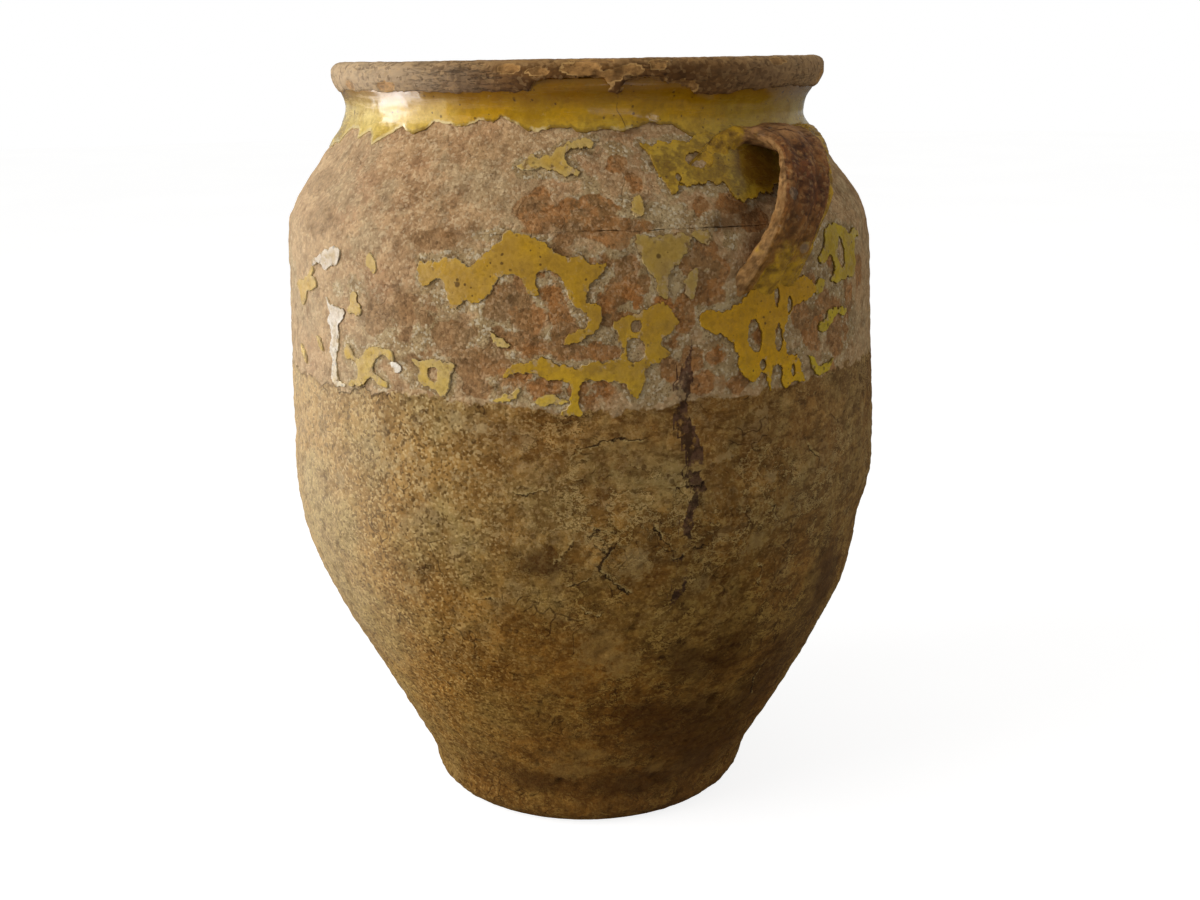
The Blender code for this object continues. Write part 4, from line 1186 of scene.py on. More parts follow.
def mark(name):
    """A number that was stored on the mesh."""
    return add("Attribute", attribute_name=name)["Fac"]


def place(flatten=1.0):
    """Where on the pot a point is. Flatten above 1 makes patterns lie in level layers."""
    here = add("TexCoord")["Object"]
    if flatten == 1.0:
        return here
    return add("Mapping", {"Vector": here, "Scale": (1, 1, flatten)})[0]


def level():
    """How high above the foot a point lies."""
    return add("SeparateXYZ", {0: place()})["Z"]


def sideways():
    """How far round to the photograph's right a point lies: -1 at its left edge, 1 at its right."""
    share = 0.7071 / BELLY_RADIUS
    return add("VectorMath", {0: place(), 1: (share, share, 0)}, operation="DOT_PRODUCT")["Value"]


def across(low, high, top=1.0, bottom=0.0):
    """A smooth step from one place across the photograph to another."""
    return step(sideways(), low, high, top, bottom)


def noise(per_metre, detail=4.0, rough=0.6, flatten=1.0):
    inputs = {"Vector": place(flatten), "Scale": per_metre, "Detail": detail, "Roughness": rough}
    return add("TexNoise", inputs)[0]


# %% [markdown]
# ## Effects that several finishes share
#
# A few small groups are built once and used by most of the finishes. *Frayed edge* turns a soft
# mark into a sharp one with a crumbly border. *Grain* gives the mottling of fired clay at two
# sizes, and *Sand* the dark and pale grains of about a millimetre in it. *Drawn line* draws a
# crack from the distances kept on the vertices, with the step of the plate beside it and a pale
# rim on the plate's edge, which is a painted highlight. *Speckle* scatters specks, each of its own
# size. *Scabs* divides a surface into rounded cells, each with its own number, and *Crazing*
# draws the net of cracks that old glaze gets.

# %% Building a group
def new_group(name, inputs, outputs):
    """Open a group. Inputs are (name, value) pairs, and outputs are names. All are plain numbers."""
    group = bpy.data.node_groups.new(name, "ShaderNodeTree")
    for title, value in inputs:
        socket = group.interface.new_socket(title, in_out="INPUT", socket_type="NodeSocketFloat")
        socket.default_value = value
    for title in outputs:
        group.interface.new_socket(title, in_out="OUTPUT", socket_type="NodeSocketFloat")
    bench["tree"] = group
    start, end = group.nodes.new("NodeGroupInput"), group.nodes.new("NodeGroupOutput")
    return group, Outputs(start), end.inputs


def use(group, **inputs):
    """Place a group in the open tree. Its inputs are named with _ for each space."""
    return add("Group", {name.replace("_", " "): value for name, value in inputs.items()}, node_tree=group)


# %% Frayed edge
frayed_edge, given, result = new_group(
    "Frayed edge", [("Mark", 0.0), ("Per metre", 260.0), ("Fray", 1.1), ("Softness", 0.05)], ["Mask"])
worn_mark = given["Mark"] + (noise(given["Per metre"], 6.0, 0.65) - 0.5) * given["Fray"]
fill(result, {"Mask": step((worn_mark - 0.5) / given["Softness"], -1.0, 1.0)})


def frayed(value, per_metre, fray, softness):
    return use(frayed_edge, Mark=value, Per_metre=per_metre, Fray=fray, Softness=softness)["Mask"]


# %% Grain and sand
clay_grain, given, result = new_group("Grain", [("Per metre", 100.0)], ["Broad", "Middle"])
fill(result, {"Broad": step(noise(given["Per metre"], 4.0, 0.62), 0.36, 0.64),
              "Middle": step(noise(given["Per metre"] * 3.6, 4.0, 0.62), 0.36, 0.66)})

sand, given, result = new_group("Sand", [("Per metre", 800.0)], ["Dark", "Pale", "Height"])
sand_grains = add("TexVoronoi", {"Vector": place(), "Scale": given["Per metre"]})
own = add("SeparateColor", {"Color": sand_grains["Color"]})
fill(result, {"Dark": step(own[0], 0.32, 0.06), "Pale": step(own[0], 0.68, 0.94),
              "Height": (1.0 - sand_grains["Distance"]) * (own[1] + 0.3)})

# %% Lines thinner than the mesh
drawn_line, given, result = new_group(
    "Drawn line", [("Side", 4.0), ("Width", -1.0), ("Per metre", 330.0), ("Crook", 1.0)],
    ["Line", "Rim", "Step"])
beside = given["Side"] + (noise(given["Per metre"], 6.0, 0.70) - 0.5) * given["Crook"]
inked = step(abs(beside) - given["Width"], 0.22, -0.10)
there = step(given["Width"], -0.25, 0.05)
# the pale rim beside the crack: painted highlight on the plate's lifted edge
edge_highlight_band = step(beside, 0.15, 0.40) * step(beside, 1.3, 0.5)
fill(result, {"Line": inked * step(noise(150.0), 0.40, 0.50),
              "Rim": edge_highlight_band * there * step(noise(260.0), 0.44, 0.54, 1.0, 0.1),
              "Step": step(beside, -0.2, 0.2) * step(abs(beside), 3.4, 0.4) * there})


def line(name, **inputs):
    """Draw the lines that store_lines kept under a name."""
    return use(drawn_line, Side=mark(name + "_side"), Width=mark(name + "_width"), **inputs)


# %% Speckle, scabs and crazing
def bent_place(per_metre, push, **more):
    """Where on the pot a point is, pushed about by noise, so that cells lose their straight edges."""
    pushes = add("TexNoise", {"Vector": place(), "Scale": per_metre, **more})["Color"]
    pushed = add("VectorMath", {0: pushes, "Scale": push}, operation="SCALE")[0]
    return add("VectorMath", {0: place(), 1: pushed}, operation="ADD")[0]


speckle, given, result = new_group("Speckle", [("Per metre", 400.0), ("Share", 0.25)], ["Mask"])
dots = add("TexVoronoi", {"Vector": bent_place(given["Per metre"], 0.0012), "Scale": given["Per metre"]})
own_size = add("SeparateColor", {"Color": dots["Color"]})[0] * given["Share"]
fill(result, {"Mask": step(own_size - dots["Distance"], 0.0, 0.08)})


def specks(per_metre, share):
    return use(speckle, Per_metre=per_metre, Share=share)["Mask"]


scabs, given, result = new_group("Scabs", [("Per metre", 120.0)], ["Pick", "Second pick", "Rim"])
bent = bent_place(210.0, 0.009, Detail=5.0, Roughness=0.65)
cells = add("TexVoronoi", {"Vector": bent, "Scale": given["Per metre"]})
picks = add("SeparateColor", {"Color": cells["Color"]})
fill(result, {"Pick": picks[0], "Second pick": picks[1], "Rim": step(cells["Distance"], 0.42, 0.62)})

crazing, given, result = new_group(
    "Crazing", [("Per metre", 160.0), ("Width", 0.03), ("Bend", 0.0016)], ["Mask"])
bent = bent_place(given["Per metre"], given["Bend"])
net = add("TexVoronoi", {"Vector": bent, "Scale": given["Per metre"]}, feature="DISTANCE_TO_EDGE")
fill(result, {"Mask": step(net["Distance"], given["Width"], 0.0)})
print("groups:", [g.name for g in bpy.data.node_groups])


# %% Starting a finish, and its relief
def new_finish(name):
    """Open a material. Gives it with the inputs of its Principled shader."""
    made = bpy.data.materials.new(name)
    made.use_nodes = True
    bench["tree"] = made.node_tree
    return made, made.node_tree.nodes["Principled BSDF"].inputs


def relief(layers, distance):
    """Chain bumps. Layers are (height, strength) pairs, the broadest first. Below 0 cuts in."""
    inputs = {"Distance": distance}
    for height, strength in layers:
        inputs.update({"Height": height, "Strength": abs(strength)})
        inputs["Normal"] = add("Bump", inputs, invert=strength < 0)[0]
    return inputs["Normal"]


# %% [markdown]
# ## Clay, slip and crust
#
# One finish covers both thrown sections, because the crust and the bare clay run over the joint.
# It starts with the fired clay, lays slip and orange scars on it, and then the crust below the
# dip line with its pale crumbs, dark stains, painted shadow under the strap's root and the run of
# old fat. Each layer is let in by the mark that was stored for it. Painted shade darkens the lower
# body and the side turned from the light, painted sheen with dust pales the lit left side, and
# painted light pales the far right. Deep places are darkened last.

# %% Layers of the clay
def terraces(per_metre, steps):
    """Noise cut into steps, as where a surface flakes off in layers. Gives each step and its tone."""
    stepped = maths("FLOOR", noise(per_metre, 9.0, 0.58) * steps)
    return stepped, maths("FRACT", stepped * 0.618)


def fired_clay(grain, grains):
    """Pinkish brown, greyer where it is dusty, with redder clouds and sand in it, and paler towards
    the lit left, which is painted sheen. Gives the colour and the steps where it spalled."""
    spalled, tone = terraces(22.0, 13.0)
    colour = lay(
        blend(grain["Broad"], (194, 156, 112), (174, 138, 96)),
        (step(noise(30.0, 6.0, 0.65), 0.50, 0.64, 0.42), (184, 128, 86)),
        (step(noise(42.0, 9.0, 0.75), 0.50, 0.58, 0.55), (166, 148, 112)),
        (tone * 0.30, (140, 104, 70)),
        (step(noise(120.0, 8.0, 0.72), 0.52, 0.62, 0.50), (126, 96, 64)),
        (step(noise(150.0, 7.0, 0.72), 0.55, 0.60, 0.45), (212, 180, 136)),
        (grains["Dark"] * 0.40, (112, 80, 50)),
        # painted sheen: paler towards the lit left
        (across(-0.52, -0.25, 0.11), (214, 182, 128)),
        (grains["Pale"] * 0.36, (226, 200, 158)))
    return colour, spalled


def chalky_slip(grains):
    """Grey-white slip, peppered with tiny dark specks."""
    return lay(
        blend(step(noise(150.0, 6.0, 0.7), 0.4, 0.6), (188, 164, 120), (152, 126, 84)),
        (specks(1300.0, 0.62) * 0.60, (84, 66, 42)),
        (grains["Pale"] * 0.55, (226, 214, 184)))


def orange_scar(pick, grains):
    """Bare clay where a scab came off: some orange, some brown, with dark pits."""
    return lay(
        blend(pick, (176, 114, 56), (140, 100, 58)),
        (step(sideways() + noise(45.0) * 0.8, 0.30, -0.05, 0.75), (142, 112, 76)),
        (step(noise(260.0, 6.0, 0.7), 0.50, 0.60, 0.6), (104, 72, 42)),
        (grains["Dark"] * 0.40, (70, 46, 26)),
        (grains["Pale"] * 0.30, (206, 158, 104)))


def dry_crust(grains):
    """Olive and ochre crust full of sand, with brown clouds, chips and pores. On the right it is
    crumpled, with painted shade in its creases and painted highlights on their edges. Gives the
    colour, the broken plates' cracks, the steps where it flakes, and how far round the flaking
    reaches."""
    flaked, tone = terraces(26.0, 13.0)
    reach = across(-0.85, -0.25)
    sandy = across(-0.50, 0.05, 0.42, 1.0)
    crumpled = 1.0 - sandy
    crumple = noise(135.0, 12.0, 0.82, flatten=1.6)
    off_fold = noise(58.0, 10.0, 0.74, flatten=1.5) - 0.5
    folded = step(noise(36.0), 0.45, 0.53) * crumpled
    lit_edge = step(off_fold, 0.050, 0.034) * step(off_fold, 0.010, 0.018)
    crease_shade = step(abs(off_fold), 0.017, 0.008) * folded
    chips = frayed(specks(150.0, 0.16), 500.0, 3.4, 0.2)
    level_layers = step(noise(95.0, 8.0, 0.70, flatten=3.2), 0.50, 0.60)
    plates = use(crazing, Per_metre=62.0, Width=0.022, Bend=0.022)["Mask"]
    broken = plates * step(noise(40.0, 5.0), 0.53, 0.60, 0.7)
    colour = lay(
        blend(step(noise(22.0, 7.0, 0.66), 0.40, 0.60), (176, 152, 98), (188, 146, 82)),
        (tone * reach * 0.74, (116, 84, 40)),
        (step(noise(42.0, 10.0, 0.76), 0.47, 0.60, 0.62), (132, 96, 48)),
        (step(noise(60.0, 10.0, 0.76), 0.53, 0.62, 0.45), (202, 178, 130)),
        (grains["Dark"] * sandy * 0.72, (88, 60, 26)),
        (grains["Pale"] * sandy * 0.58, (224, 196, 140)),
        (chips * reach * 0.60, (214, 186, 132)),
        (level_layers * across(-0.30, 0.45, 0.62, 0.10), (98, 68, 30)),
        # darker where the crumple cuts in, paler where it stands up
        (step(crumple, 0.55, 0.60) * crumpled, (92, 60, 26)),
        (step(crumple, 0.45, 0.40) * crumpled, (206, 176, 112)),
        # painted highlight on the folds' edges and painted shade in their creases
        (lit_edge * folded, (226, 200, 138)),
        (crease_shade * 1.1, (60, 38, 17)),
        (specks(170.0, 0.26) * 0.55, (70, 46, 22)),
        (broken, (62, 38, 18)))
    return colour, broken, flaked * reach, reach


# %% The clay finish
def clay_finish(name):
    made, shader = new_finish(name)
    grain, grains = use(clay_grain, Per_metre=95.0), use(sand, Per_metre=1000.0)
    clay_colour, spalled = fired_clay(grain, grains)
    crust_colour, broken, flaked, reach = dry_crust(grains)

    scab = use(scabs, Per_metre=118.0)
    scabby = frayed(mark("scabby"), 60.0, 1.6, 0.3)
    between = scabby * larger(scab["Rim"] * 0.80, step(scab["Second pick"], 0.60, 0.66, 0.85))
    slip = larger(frayed(mark("slip"), 240.0, 2.4, 0.22) * 0.80, between)
    lifted = scabby * step(scab["Pick"], 0.50, 0.46) * (1.0 - scab["Rim"])
    bare = larger(frayed(mark("orange") * 1.3, 150.0, 1.9, 0.12) * 0.84, lifted)
    crusted = frayed(mark("crust"), 240.0, 1.6, 0.20)

    height = level() + grain["Broad"] * 0.02
    shaded = step(height, 0.220, 0.120) * across(-0.80, -0.05)
    upper_crust_shade = step(height, 0.165, 0.195) * crusted * across(-0.45, -0.05)
    dust_and_sheen = across(-0.40, -0.95, 0.38) * step(height, 0.04, 0.12, 1.0, 0.2)
    foot_right_painted_light = step(height, 0.045, 0.025, 0.035) * across(0.0, 0.3)
    far_right_painted_light = larger(across(0.45, 0.85, 0.11), foot_right_painted_light)
    clotted = blend(step(noise(240.0, 6.0, 0.7), 0.44, 0.56), (98, 70, 54), (54, 35, 27))
    cracks, more = line("crack", Crook=6.5), line("more", Crook=6.5)
    crack = larger(cracks["Line"], more["Line"])
    colour = lay(
        clay_colour,
        (slip, chalky_slip(grains)),
        (bare * 0.92, orange_scar(scab["Second pick"], grains)),
        (crusted, crust_colour),
        # smoke and damp stains, and painted shadow under the strap's root
        (frayed(mark("dark"), 60.0, 1.6, 0.60) * 0.70, (78, 48, 20)),
        (frayed(mark("scuff"), 420.0, 3.0, 0.20) * 0.42, (200, 176, 128)),
        # painted shade: darker and warmer low down, and darker at the lower middle away from the lit left
        (step(height, 0.19, 0.07, 0.85), (255, 240, 198), "MULTIPLY"),
        (shaded, (226, 212, 184), "MULTIPLY"),
        # painted shade: darker at the foot
        (step(height, 0.10, 0.02, 0.30), (106, 74, 40)),
        # painted shade on the crust higher up, away from the lit left
        (upper_crust_shade, (243, 228, 210), "MULTIPLY"),
        # painted sheen with dust: paler towards the lit left, above the foot
        (dust_and_sheen, (222, 198, 160)),
        # painted light: paler at the far right and at the right of the foot, which the lamps leave dark
        (far_right_painted_light, (190, 162, 124)),
        (line("run", Per_metre=190.0, Crook=7.0)["Line"] * 0.88, clotted),
        # painted highlight on the lifted edges of the crust's plates
        (larger(cracks["Rim"], more["Rim"]) * 0.70, (206, 176, 112)),
        (crack * 0.85, (46, 28, 16)),
        # darker in the pits and low places
        (step(mark("hollow"), 0.45, 0.95, 0.34), (104, 76, 44), "MULTIPLY"))

    papery = reach * crusted
    layers = [
        (add("Mix", {0: crusted, 2: spalled * 0.5, 3: flaked})[0], 0.55),
        (noise(420.0, 5.0, 0.72) * (1.0 - papery * 0.30), 1.0),
        (grains["Height"], 0.22),
        (noise(135.0, 12.0, 0.82, flatten=1.6) * papery, -0.9),
        (cracks["Step"], 0.5),
        (crack, -0.8),
        (broken, -0.5),
        (bare, -0.30)]
    fill(shader, {"Base Color": colour, "Roughness": 0.95, "Specular IOR Level": 0.08,
                  "Normal": relief(layers, 1.0 * MM)})
    return made


clay = clay_finish("worn_clay")
for made in (lower, upper):
    made.data.materials.append(clay)

# %% [markdown]
# ## Yellow glaze
#
# Lead glaze over pale slip is honey yellow where it is thick and straw where it is thin. It is
# glossy, with fine dark specks and cloudy stains. Round each flake runs a line, dark on the side
# turned from the light and pale on the lit side: painted shade and painted highlight, with dirt
# and bared slip in it. Flakes on the lit side are paler, from weathering and from painted sheen,
# so each piece takes its own pair of colours. The glaze under the straps' roots has painted shade.

# %% Where the glaze changes
def neck_layers():
    """Paler to the left, partly the glaze's own tone and partly painted sheen, greener to the right with
    painted sheen along the far right edge, darker under the collar from dirt and painted shade, and brighter
    lower down.
    """
    round_it = sideways() + (noise(60.0, 6.0, 0.7) - 0.5) * 0.25
    collar_dirt_and_shade_level = level() + noise(110.0, 7.0, 0.7) * (10 * MM)
    return [
        # paler towards the left: the glaze's own tone and painted sheen
        (step(round_it, -0.30, -0.42, 0.65), (218, 188, 96)),
        (step(round_it, -0.46, -0.66, 0.80), (238, 216, 142)),
        (step(round_it, 0.41, 0.46, 0.55), (158, 134, 40)),
        # painted sheen along the far right edge
        (step(round_it, 0.55, 0.74, 0.60), (176, 162, 112)),
        # darker under the collar, from dirt and painted shade, and brighter lower down
        (step(collar_dirt_and_shade_level, 0.3045, 0.3145, 0.80), (126, 78, 8)),
        (step(collar_dirt_and_shade_level, 0.3050, 0.2990, 0.50), (214, 182, 66))]


def flake_layers(grain):
    """Browner near the shoulder, purer yellow low down, and paler to the left, with dust and painted sheen.
    """
    height = level() + grain["Middle"] * (8 * MM)
    dust_and_sheen = across(-0.05, -0.85, 0.75, 0.05) * step(noise(130.0, 8.0, 0.74), 0.42, 0.56, 1.0, 0.3)
    return [
        (step(height, 0.222, 0.236, 0.30), (160, 112, 26)),
        (step(height, 0.216, 0.200, 0.55), (214, 176, 12)),
        # painted sheen with dust, towards the lit left
        (dust_and_sheen, (188, 160, 108))]


# %% The glaze finish
def glaze_finish(name, thick, thin, cloud, roughness, stain=0.55, worn=0.40, bumpy=0.4 * MM, shine=0.20,
                 round_the_neck=False):
    """Two yellows in clouds, stained, pitted and crazed, and worn thin towards the edge."""
    made, shader = new_finish(name)
    grain, fine = use(clay_grain, Per_metre=70.0), use(clay_grain, Per_metre=240.0)
    grains = use(sand, Per_metre=700.0)
    towards_edge = 1.0 - mark("margin")
    gone = frayed(towards_edge * worn, 330.0, 2.0, 0.14)
    # lit: where the rim gets a painted highlight, more often towards the left
    lit = step(noise(90.0) + sideways() * -0.25, 0.50, 0.62)
    layers = [(step(noise(80.0, 9.0, 0.75), 0.47, 0.60, stain), cloud)]
    if round_the_neck:
        layers = neck_layers() + layers
        rough = step(noise(60.0, 6.0, 0.7, flatten=9.0), 0.40, 0.66, roughness + 0.22, roughness)
    else:
        layers += flake_layers(grain)
        rough = step(larger(fine["Broad"], gone), 0.2, 1.0, roughness + 0.3, roughness)
    layers += [
        (fine["Middle"] * 0.22, (138, 100, 22)),
        (grains["Dark"] * 0.20, (104, 74, 18)),
        (larger(specks(150.0, 0.20), specks(340.0, 0.24)) * 0.75, (66, 42, 16)),
        (use(crazing, Per_metre=300.0, Width=0.035)["Mask"] * 0.10, (86, 58, 14))]
    if round_the_neck:
        layers.append((line("crack", Crook=0.8)["Line"] * 0.80, (70, 40, 10)))
    layers += [
        # painted shade in the hollow under the strap's root
        (frayed(mark("shade_under_strap"), 70.0, 1.0, 0.70) * 0.80, (96, 54, 8)),
        (frayed(towards_edge * 0.75, 130.0, 1.4, 0.30) * 0.35, thin),
        (gone * 0.80, blend(grains["Dark"], (178, 150, 108), (112, 84, 54))),
        # painted highlight on the rim where lit, painted shade elsewhere, with dirt and bared slip
        (frayed(mark("rim"), 600.0, 1.6, 0.40) * 0.60, blend(lit, (84, 58, 26), (218, 202, 156)))]
    bumps_in_glaze = [(fine["Broad"], 0.22), (grains["Height"], 0.20), (gone, -0.3)]
    fill(shader, {"Base Color": lay(blend(grain["Broad"], thick, thin), *layers), "Roughness": rough,
                  "Specular IOR Level": shine, "Normal": relief(bumps_in_glaze, bumpy)})
    return made


STAIN = (150, 116, 40)
straw = glaze_finish("straw_glaze", (206, 170, 78), (208, 180, 108), (170, 140, 80), 0.55, 0.5, 0.45,
                     shine=0.08)
ochre_glaze = glaze_finish("ochre_glaze", (196, 152, 24), (184, 144, 44), STAIN, 0.36)
honey_glaze = glaze_finish("honey_glaze", (214, 158, 4), (204, 154, 14), STAIN, 0.26, 0.32, 0.25)
olive_glaze = glaze_finish("olive_glaze", (206, 180, 22), (188, 164, 40), STAIN, 0.32, 0.35, 0.40)
faded_glaze = glaze_finish("faded_glaze", (186, 156, 72), (174, 150, 88), (158, 132, 82), 0.52, 0.7, 0.5)
white_glaze = glaze_finish("white_glaze", (252, 246, 232), (252, 248, 238), (236, 222, 194), 0.7, 0.4, 0.4,
                           0.2 * MM, 0.06)
FLAKE_FINISH = {
    "drape": ochre_glaze, "tongue": ochre_glaze, "island": faded_glaze, "under_handle": honey_glaze,
    "hook": olive_glaze, "low_run": straw, "shoulder_flakes": straw, "bleached_chips": white_glaze,
    "back_drape": straw, "back_tongue": ochre_glaze, "under_back_handle": honey_glaze,
    "back_hook": ochre_glaze}
for made in glaze_pieces:
    made.data.materials.append(FLAKE_FINISH[made.name])

# %% The coat on the neck
neck_finish = glaze_finish("neck_coat_glaze", (196, 146, 4), (188, 144, 18), (146, 106, 14), 0.12, 0.5, 0.12,
                           0.04 * MM, 0.34, round_the_neck=True)
for made in [neck] + neck_runs:
    made.data.materials.append(neck_finish)

# %% [markdown]
# ## Collar, straps and lining
#
# The collar is the same clay, but handled for a century: dark and greasy, paler on top, with
# fresh orange clay in its chips and painted light towards both sides. The straps keep some glaze
# low down and along their outer edge; their lit edge is paler, partly painted light, and they have
# painted glints. The lining is a darker honey glaze, deeper in colour and darker towards the floor.

# %% The collar's finish
def collar_finish():
    """Dark clay in level layers, with partings between them, a paler top, painted light on both sides and
    pale brinks.
    """
    made, shader = new_finish("collar_clay_worn")
    grain, grains = use(clay_grain, Per_metre=90.0), use(sand, Per_metre=760.0)
    layered = noise(70.0, 8.0, 0.70, flatten=4.5)
    parting = step(abs(noise(45.0, 7.0, 0.66, flatten=7.0) - 0.5), 0.012, 0.003)
    parting = parting * step(noise(36.0), 0.46, 0.54)
    paler_top = step(level() + grain["Middle"] * (1.5 * MM), 0.3170, 0.3205, 0.60)
    fresh = blend(step(noise(170.0, 6.0, 0.7), 0.42, 0.60), (204, 152, 88), (140, 102, 58))
    brink = step(abs(mark("chip") - 0.4), 0.30, 0.10) * step(noise(130.0), 0.42, 0.56, 0.9, 0.2)
    colour = lay(
        blend(grain["Broad"], (120, 82, 42), (98, 65, 32)),
        (step(layered, 0.47, 0.58, 0.70), (98, 68, 38)),
        (parting * 0.80, (44, 28, 18)),
        # paler on top
        (paler_top, (186, 144, 90)),
        # painted light: paler towards the lit left and towards the far right
        (across(-0.10, -0.70, 0.75), (204, 178, 140)),
        (across(0.30, 0.75, 0.55), (190, 156, 112)),
        (grains["Dark"] * 0.45, (80, 54, 30)),
        (grains["Pale"] * 0.22, (200, 162, 108)),
        (frayed(mark("chip"), 220.0, 1.2, 0.14) * 0.65, fresh),
        (brink, (204, 160, 98)),
        (step(mark("hollow"), 0.4, 0.95, 0.22), (80, 56, 34), "MULTIPLY"))
    layers = [(layered, 0.8), (noise(230.0, 6.0, 0.68, flatten=2.5), 0.35), (parting, -0.7)]
    fill(shader, {"Base Color": colour, "Roughness": 0.80, "Specular IOR Level": 0.14,
                  "Normal": relief(layers, 1.0 * MM)})
    return made


collar.data.materials.append(collar_finish())


# %% The straps' finish
def strap_finish():
    """Brown clay drawn out in long streaks, a tan lip on the lit edge that is partly painted light, painted
    glints, and glaze at the root, foot and far edge.
    """
    made, shader = new_finish("strap_clay_worn")
    grain, grains = use(clay_grain, Per_metre=80.0), use(sand, Per_metre=760.0)
    side, share, outer = mark("side"), mark("along"), mark("outer")
    pulled = add("CombineXYZ", {0: side, 1: share * 2.2, 2: outer})[0]
    drawn = add("TexNoise", {"Vector": pulled, "Scale": 3.2, "Detail": 8.0, "Roughness": 0.68})[0]
    lit_lip = frayed(step(side, -0.74, -0.98) * step(outer - share * 0.8, 0.05, -0.25), 150.0, 0.8, 0.25)
    low = step(share, 0.70, 1.0) * step(side, -0.85, -0.30, 1.0, 0.15)
    far_edge = step(side, 0.60, 0.84) * step(outer, -0.1, 0.4, 0.85)
    glazed = frayed(larger(larger(low, far_edge), mark("spread")), 110.0, 1.7, 0.18)
    slant = share - side * 0.11 + noise(300.0, 5.0, 0.7) * 0.03
    on_face = step(side, -0.80, -0.60) * step(side, -0.02, -0.18)
    gap = step(abs(slant - 0.365), 0.010, 0.003) * on_face * step(outer, 0.1, 0.3)
    colour = lay(
        blend(grain["Broad"], (140, 88, 42), (116, 72, 36)),
        (step(drawn, 0.46, 0.60, 0.75), (88, 54, 32)),
        (step(drawn, 0.46, 0.36, 0.50), (168, 124, 74)),
        (step(noise(90.0, 7.0, 0.7), 0.52, 0.62, 0.5), (124, 68, 40)),
        (grains["Dark"] * 0.45, (62, 38, 24)),
        (grains["Pale"] * 0.26, (190, 150, 96)),
        (step(share, 0.66, 0.95, 0.40), (176, 126, 40)),
        # painted glints: grey-white specks
        (frayed(specks(90.0, 0.30), 420.0, 3.2, 0.25) * 0.24, (176, 168, 146)),
        # the lit left edge: the clay's own tan and painted light
        (lit_lip * 0.80, blend(grain["Middle"], (186, 142, 88), (146, 106, 60))),
        (step(share, 0.48, 0.26, 0.90) * step(drawn, 0.66, 0.46), (178, 132, 84)),
        (glazed * 0.88, blend(grain["Middle"], (204, 158, 34), (150, 112, 30))),
        (gap * 0.85, (64, 26, 12)),
        (step(mark("hollow"), 0.4, 0.95, 0.5), (80, 56, 34), "MULTIPLY"))
    layers = [(drawn, 1.0), (noise(260.0, 6.0, 0.68), 0.45), (grains["Height"], 0.15), (gap, -0.6)]
    fill(shader, {"Base Color": colour, "Roughness": step(glazed, 0.0, 1.0, 0.26, 0.66),
                  "Specular IOR Level": 0.20, "Normal": relief(layers, 0.9 * MM)})
    return made


strap_look = strap_finish()
for made in straps:
    made.data.materials.append(strap_look)


# %% The lining's finish
def lining_finish():
    """Dark honey glaze, browner towards the floor, with a net of fine cracks."""
    made, shader = new_finish("lining_glaze_worn")
    grain = use(clay_grain, Per_metre=45.0)
    net = use(crazing, Per_metre=210.0, Width=0.04)["Mask"]
    colour = lay(
        blend(grain["Broad"], (176, 122, 34), (150, 100, 34)),
        (step(level(), 0.22, 0.02, 0.65), (84, 54, 24)),
        (grain["Middle"] * 0.35, (96, 64, 26)),
        (net * 0.5, (56, 36, 18)))
    fill(shader, {"Base Color": colour, "Roughness": step(grain["Middle"], 0.0, 1.0, 0.42, 0.20),
                  "Normal": relief([(grain["Middle"], 0.2), (net, -0.1)], 0.4 * MM)})
    return made


inner.data.materials.append(lining_finish())
print("finishes:", sorted(m.name for m in bpy.data.materials if m.users))

# %% [markdown]
# ## Floor, light and camera
#
# The pot stands on a plain pale floor. A broad soft light stands to the left, as a window would,
# and a weak warm one to the right. Three smaller ones are there for the glaze alone: a leaning one
# on the far left draws the bright patch on the neck, a fainter one lets it fade out, and one in
# front draws the pale streak. The room fills in the rest. Colours are shown as they were chosen,
# with the standard view. The floor and the room look white to the camera, but they throw little
# light back, so that the pot's right side and foot stay dark. The camera stands at the height of
# the rim and looks down a little, at the angle of the photograph.

# %% The room
ROOM_LIGHT = 0.37
bpy.context.scene.view_settings.view_transform = "Standard"
world = bpy.data.worlds.new("pale_room")
bpy.context.scene.world = world
world.use_nodes = True
bench["tree"] = world.node_tree
strength = step(add("LightPath")["Is Camera Ray"], 0.0, 1.0, 1.0, ROOM_LIGHT)
fill(world.node_tree.nodes["Background"].inputs, {"Color": (1, 1, 1, 1), "Strength": strength})

# %% The floor
FLOOR_GLOW = 0.83             # seen by the camera alone
floor_mesh = bmesh.new()
bmesh.ops.create_circle(floor_mesh, cap_ends=True, segments=96, radius=6.0)
floor = finished("floor", floor_mesh)
floor_look, shader = new_finish("pale_floor")
paper = blend(step(noise(3.0), 0.3, 0.7), (166, 165, 163), (172, 171, 169))
fill(shader, {"Base Color": paper, "Roughness": 0.9, "Emission Color": (1, 1, 1, 1),
              "Emission Strength": add("LightPath")["Is Camera Ray"] * FLOOR_GLOW})
floor.data.materials.append(floor_look)

# %% The lights
TOWARDS_CAMERA = Vector((sin(radians(45)), -cos(radians(45)), 0))
TO_THE_RIGHT = Vector((cos(radians(45)), sin(radians(45)), 0))


def spot(right, away, height):
    """A place given as the camera sees it, in metres from the pot's foot."""
    return TO_THE_RIGHT * right - TOWARDS_CAMERA * away + Vector((0, 0, height))


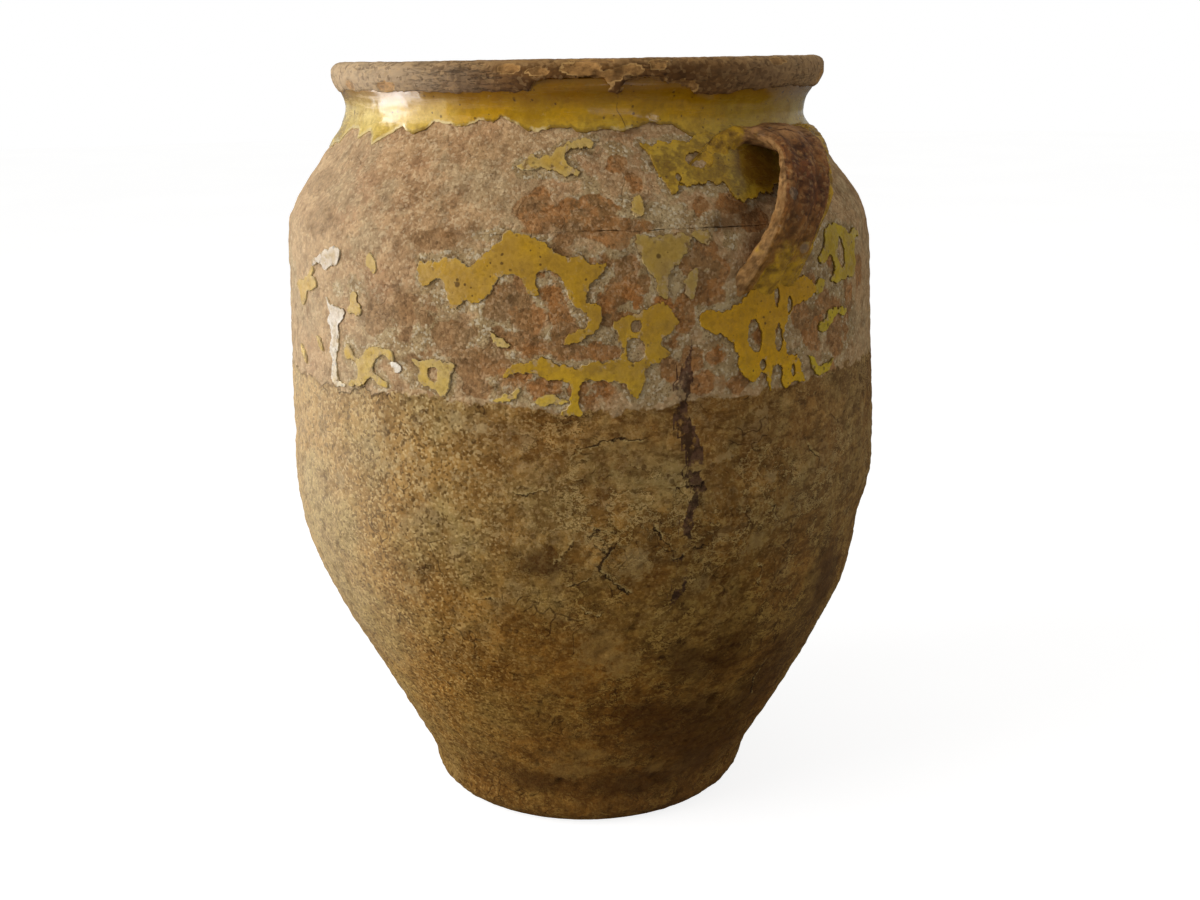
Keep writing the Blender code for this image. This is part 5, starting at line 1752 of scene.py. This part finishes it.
def soft_light(name, at, aim, wide, high, power, colour, lean=0.0, shine=False):
    """An area light out of the camera's sight. It either lights, or it only shines in the glaze."""
    lamp = bpy.data.lights.new(name, "AREA")
    lamp.shape, lamp.size, lamp.size_y = "RECTANGLE", wide, high
    lamp.energy, lamp.color = power, colour
    made = bpy.data.objects.new(name, lamp)
    made.location = at
    facing = (aim - at).to_track_quat("-Z", "Y").to_matrix()
    made.rotation_euler = (facing @ Matrix.Rotation(radians(lean), 3, "Z")).to_euler()
    made.visible_glossy = shine
    made.visible_diffuse = not shine
    made.visible_camera = False
    bpy.context.scene.collection.objects.link(made)


MIDDLE = spot(0, 0, 0.17)
soft_light("window", spot(-1.288, -0.573, 0.683), MIDDLE, 1.2, 1.2, 21.0, (1.0, 1.0, 1.03))
soft_light("bright_blind", spot(-0.292, -0.016, 0.246), spot(-0.067, -0.069, 0.304), 0.10, 0.26, 0.95,
           (1.0, 1.0, 1.02), lean=-17, shine=True)
soft_light("blind_glow", spot(-0.306, -0.116, 0.246), spot(-0.067, -0.069, 0.304), 0.17, 0.26, 0.36,
           (1.0, 1.0, 1.02), lean=-17, shine=True)
soft_light("far_wall", spot(1.3, -0.3, 0.5), MIDDLE, 1.0, 1.0, 2.4, (1.0, 0.98, 0.94))
soft_light("lamp", spot(0.556, -1.377, -0.04), MIDDLE, 0.75, 0.14, 5.0, (0.95, 0.92, 1.0), shine=True)

# %% The camera
CAMERA_DISTANCE = 0.653
CAMERA_HEIGHT = 0.32
CAMERA_ASIDE = 0.0074
CAMERA_PITCH = 14.65          # degrees down
CAMERA_ROLL = 0.9
camera = bpy.data.objects.new("camera", bpy.data.cameras.new("camera"))
camera.data.lens = 45
camera.data.clip_start = 0.01
forward = -TOWARDS_CAMERA * cos(radians(CAMERA_PITCH)) - Vector((0, 0, sin(radians(CAMERA_PITCH))))
upright = forward.to_track_quat("-Z", "Y").to_matrix()
camera.location = spot(CAMERA_ASIDE, -CAMERA_DISTANCE, CAMERA_HEIGHT)
camera.rotation_euler = (upright @ Matrix.Rotation(radians(-CAMERA_ROLL), 3, "Z")).to_euler()
bpy.context.scene.collection.objects.link(camera)
bpy.context.scene.camera = camera
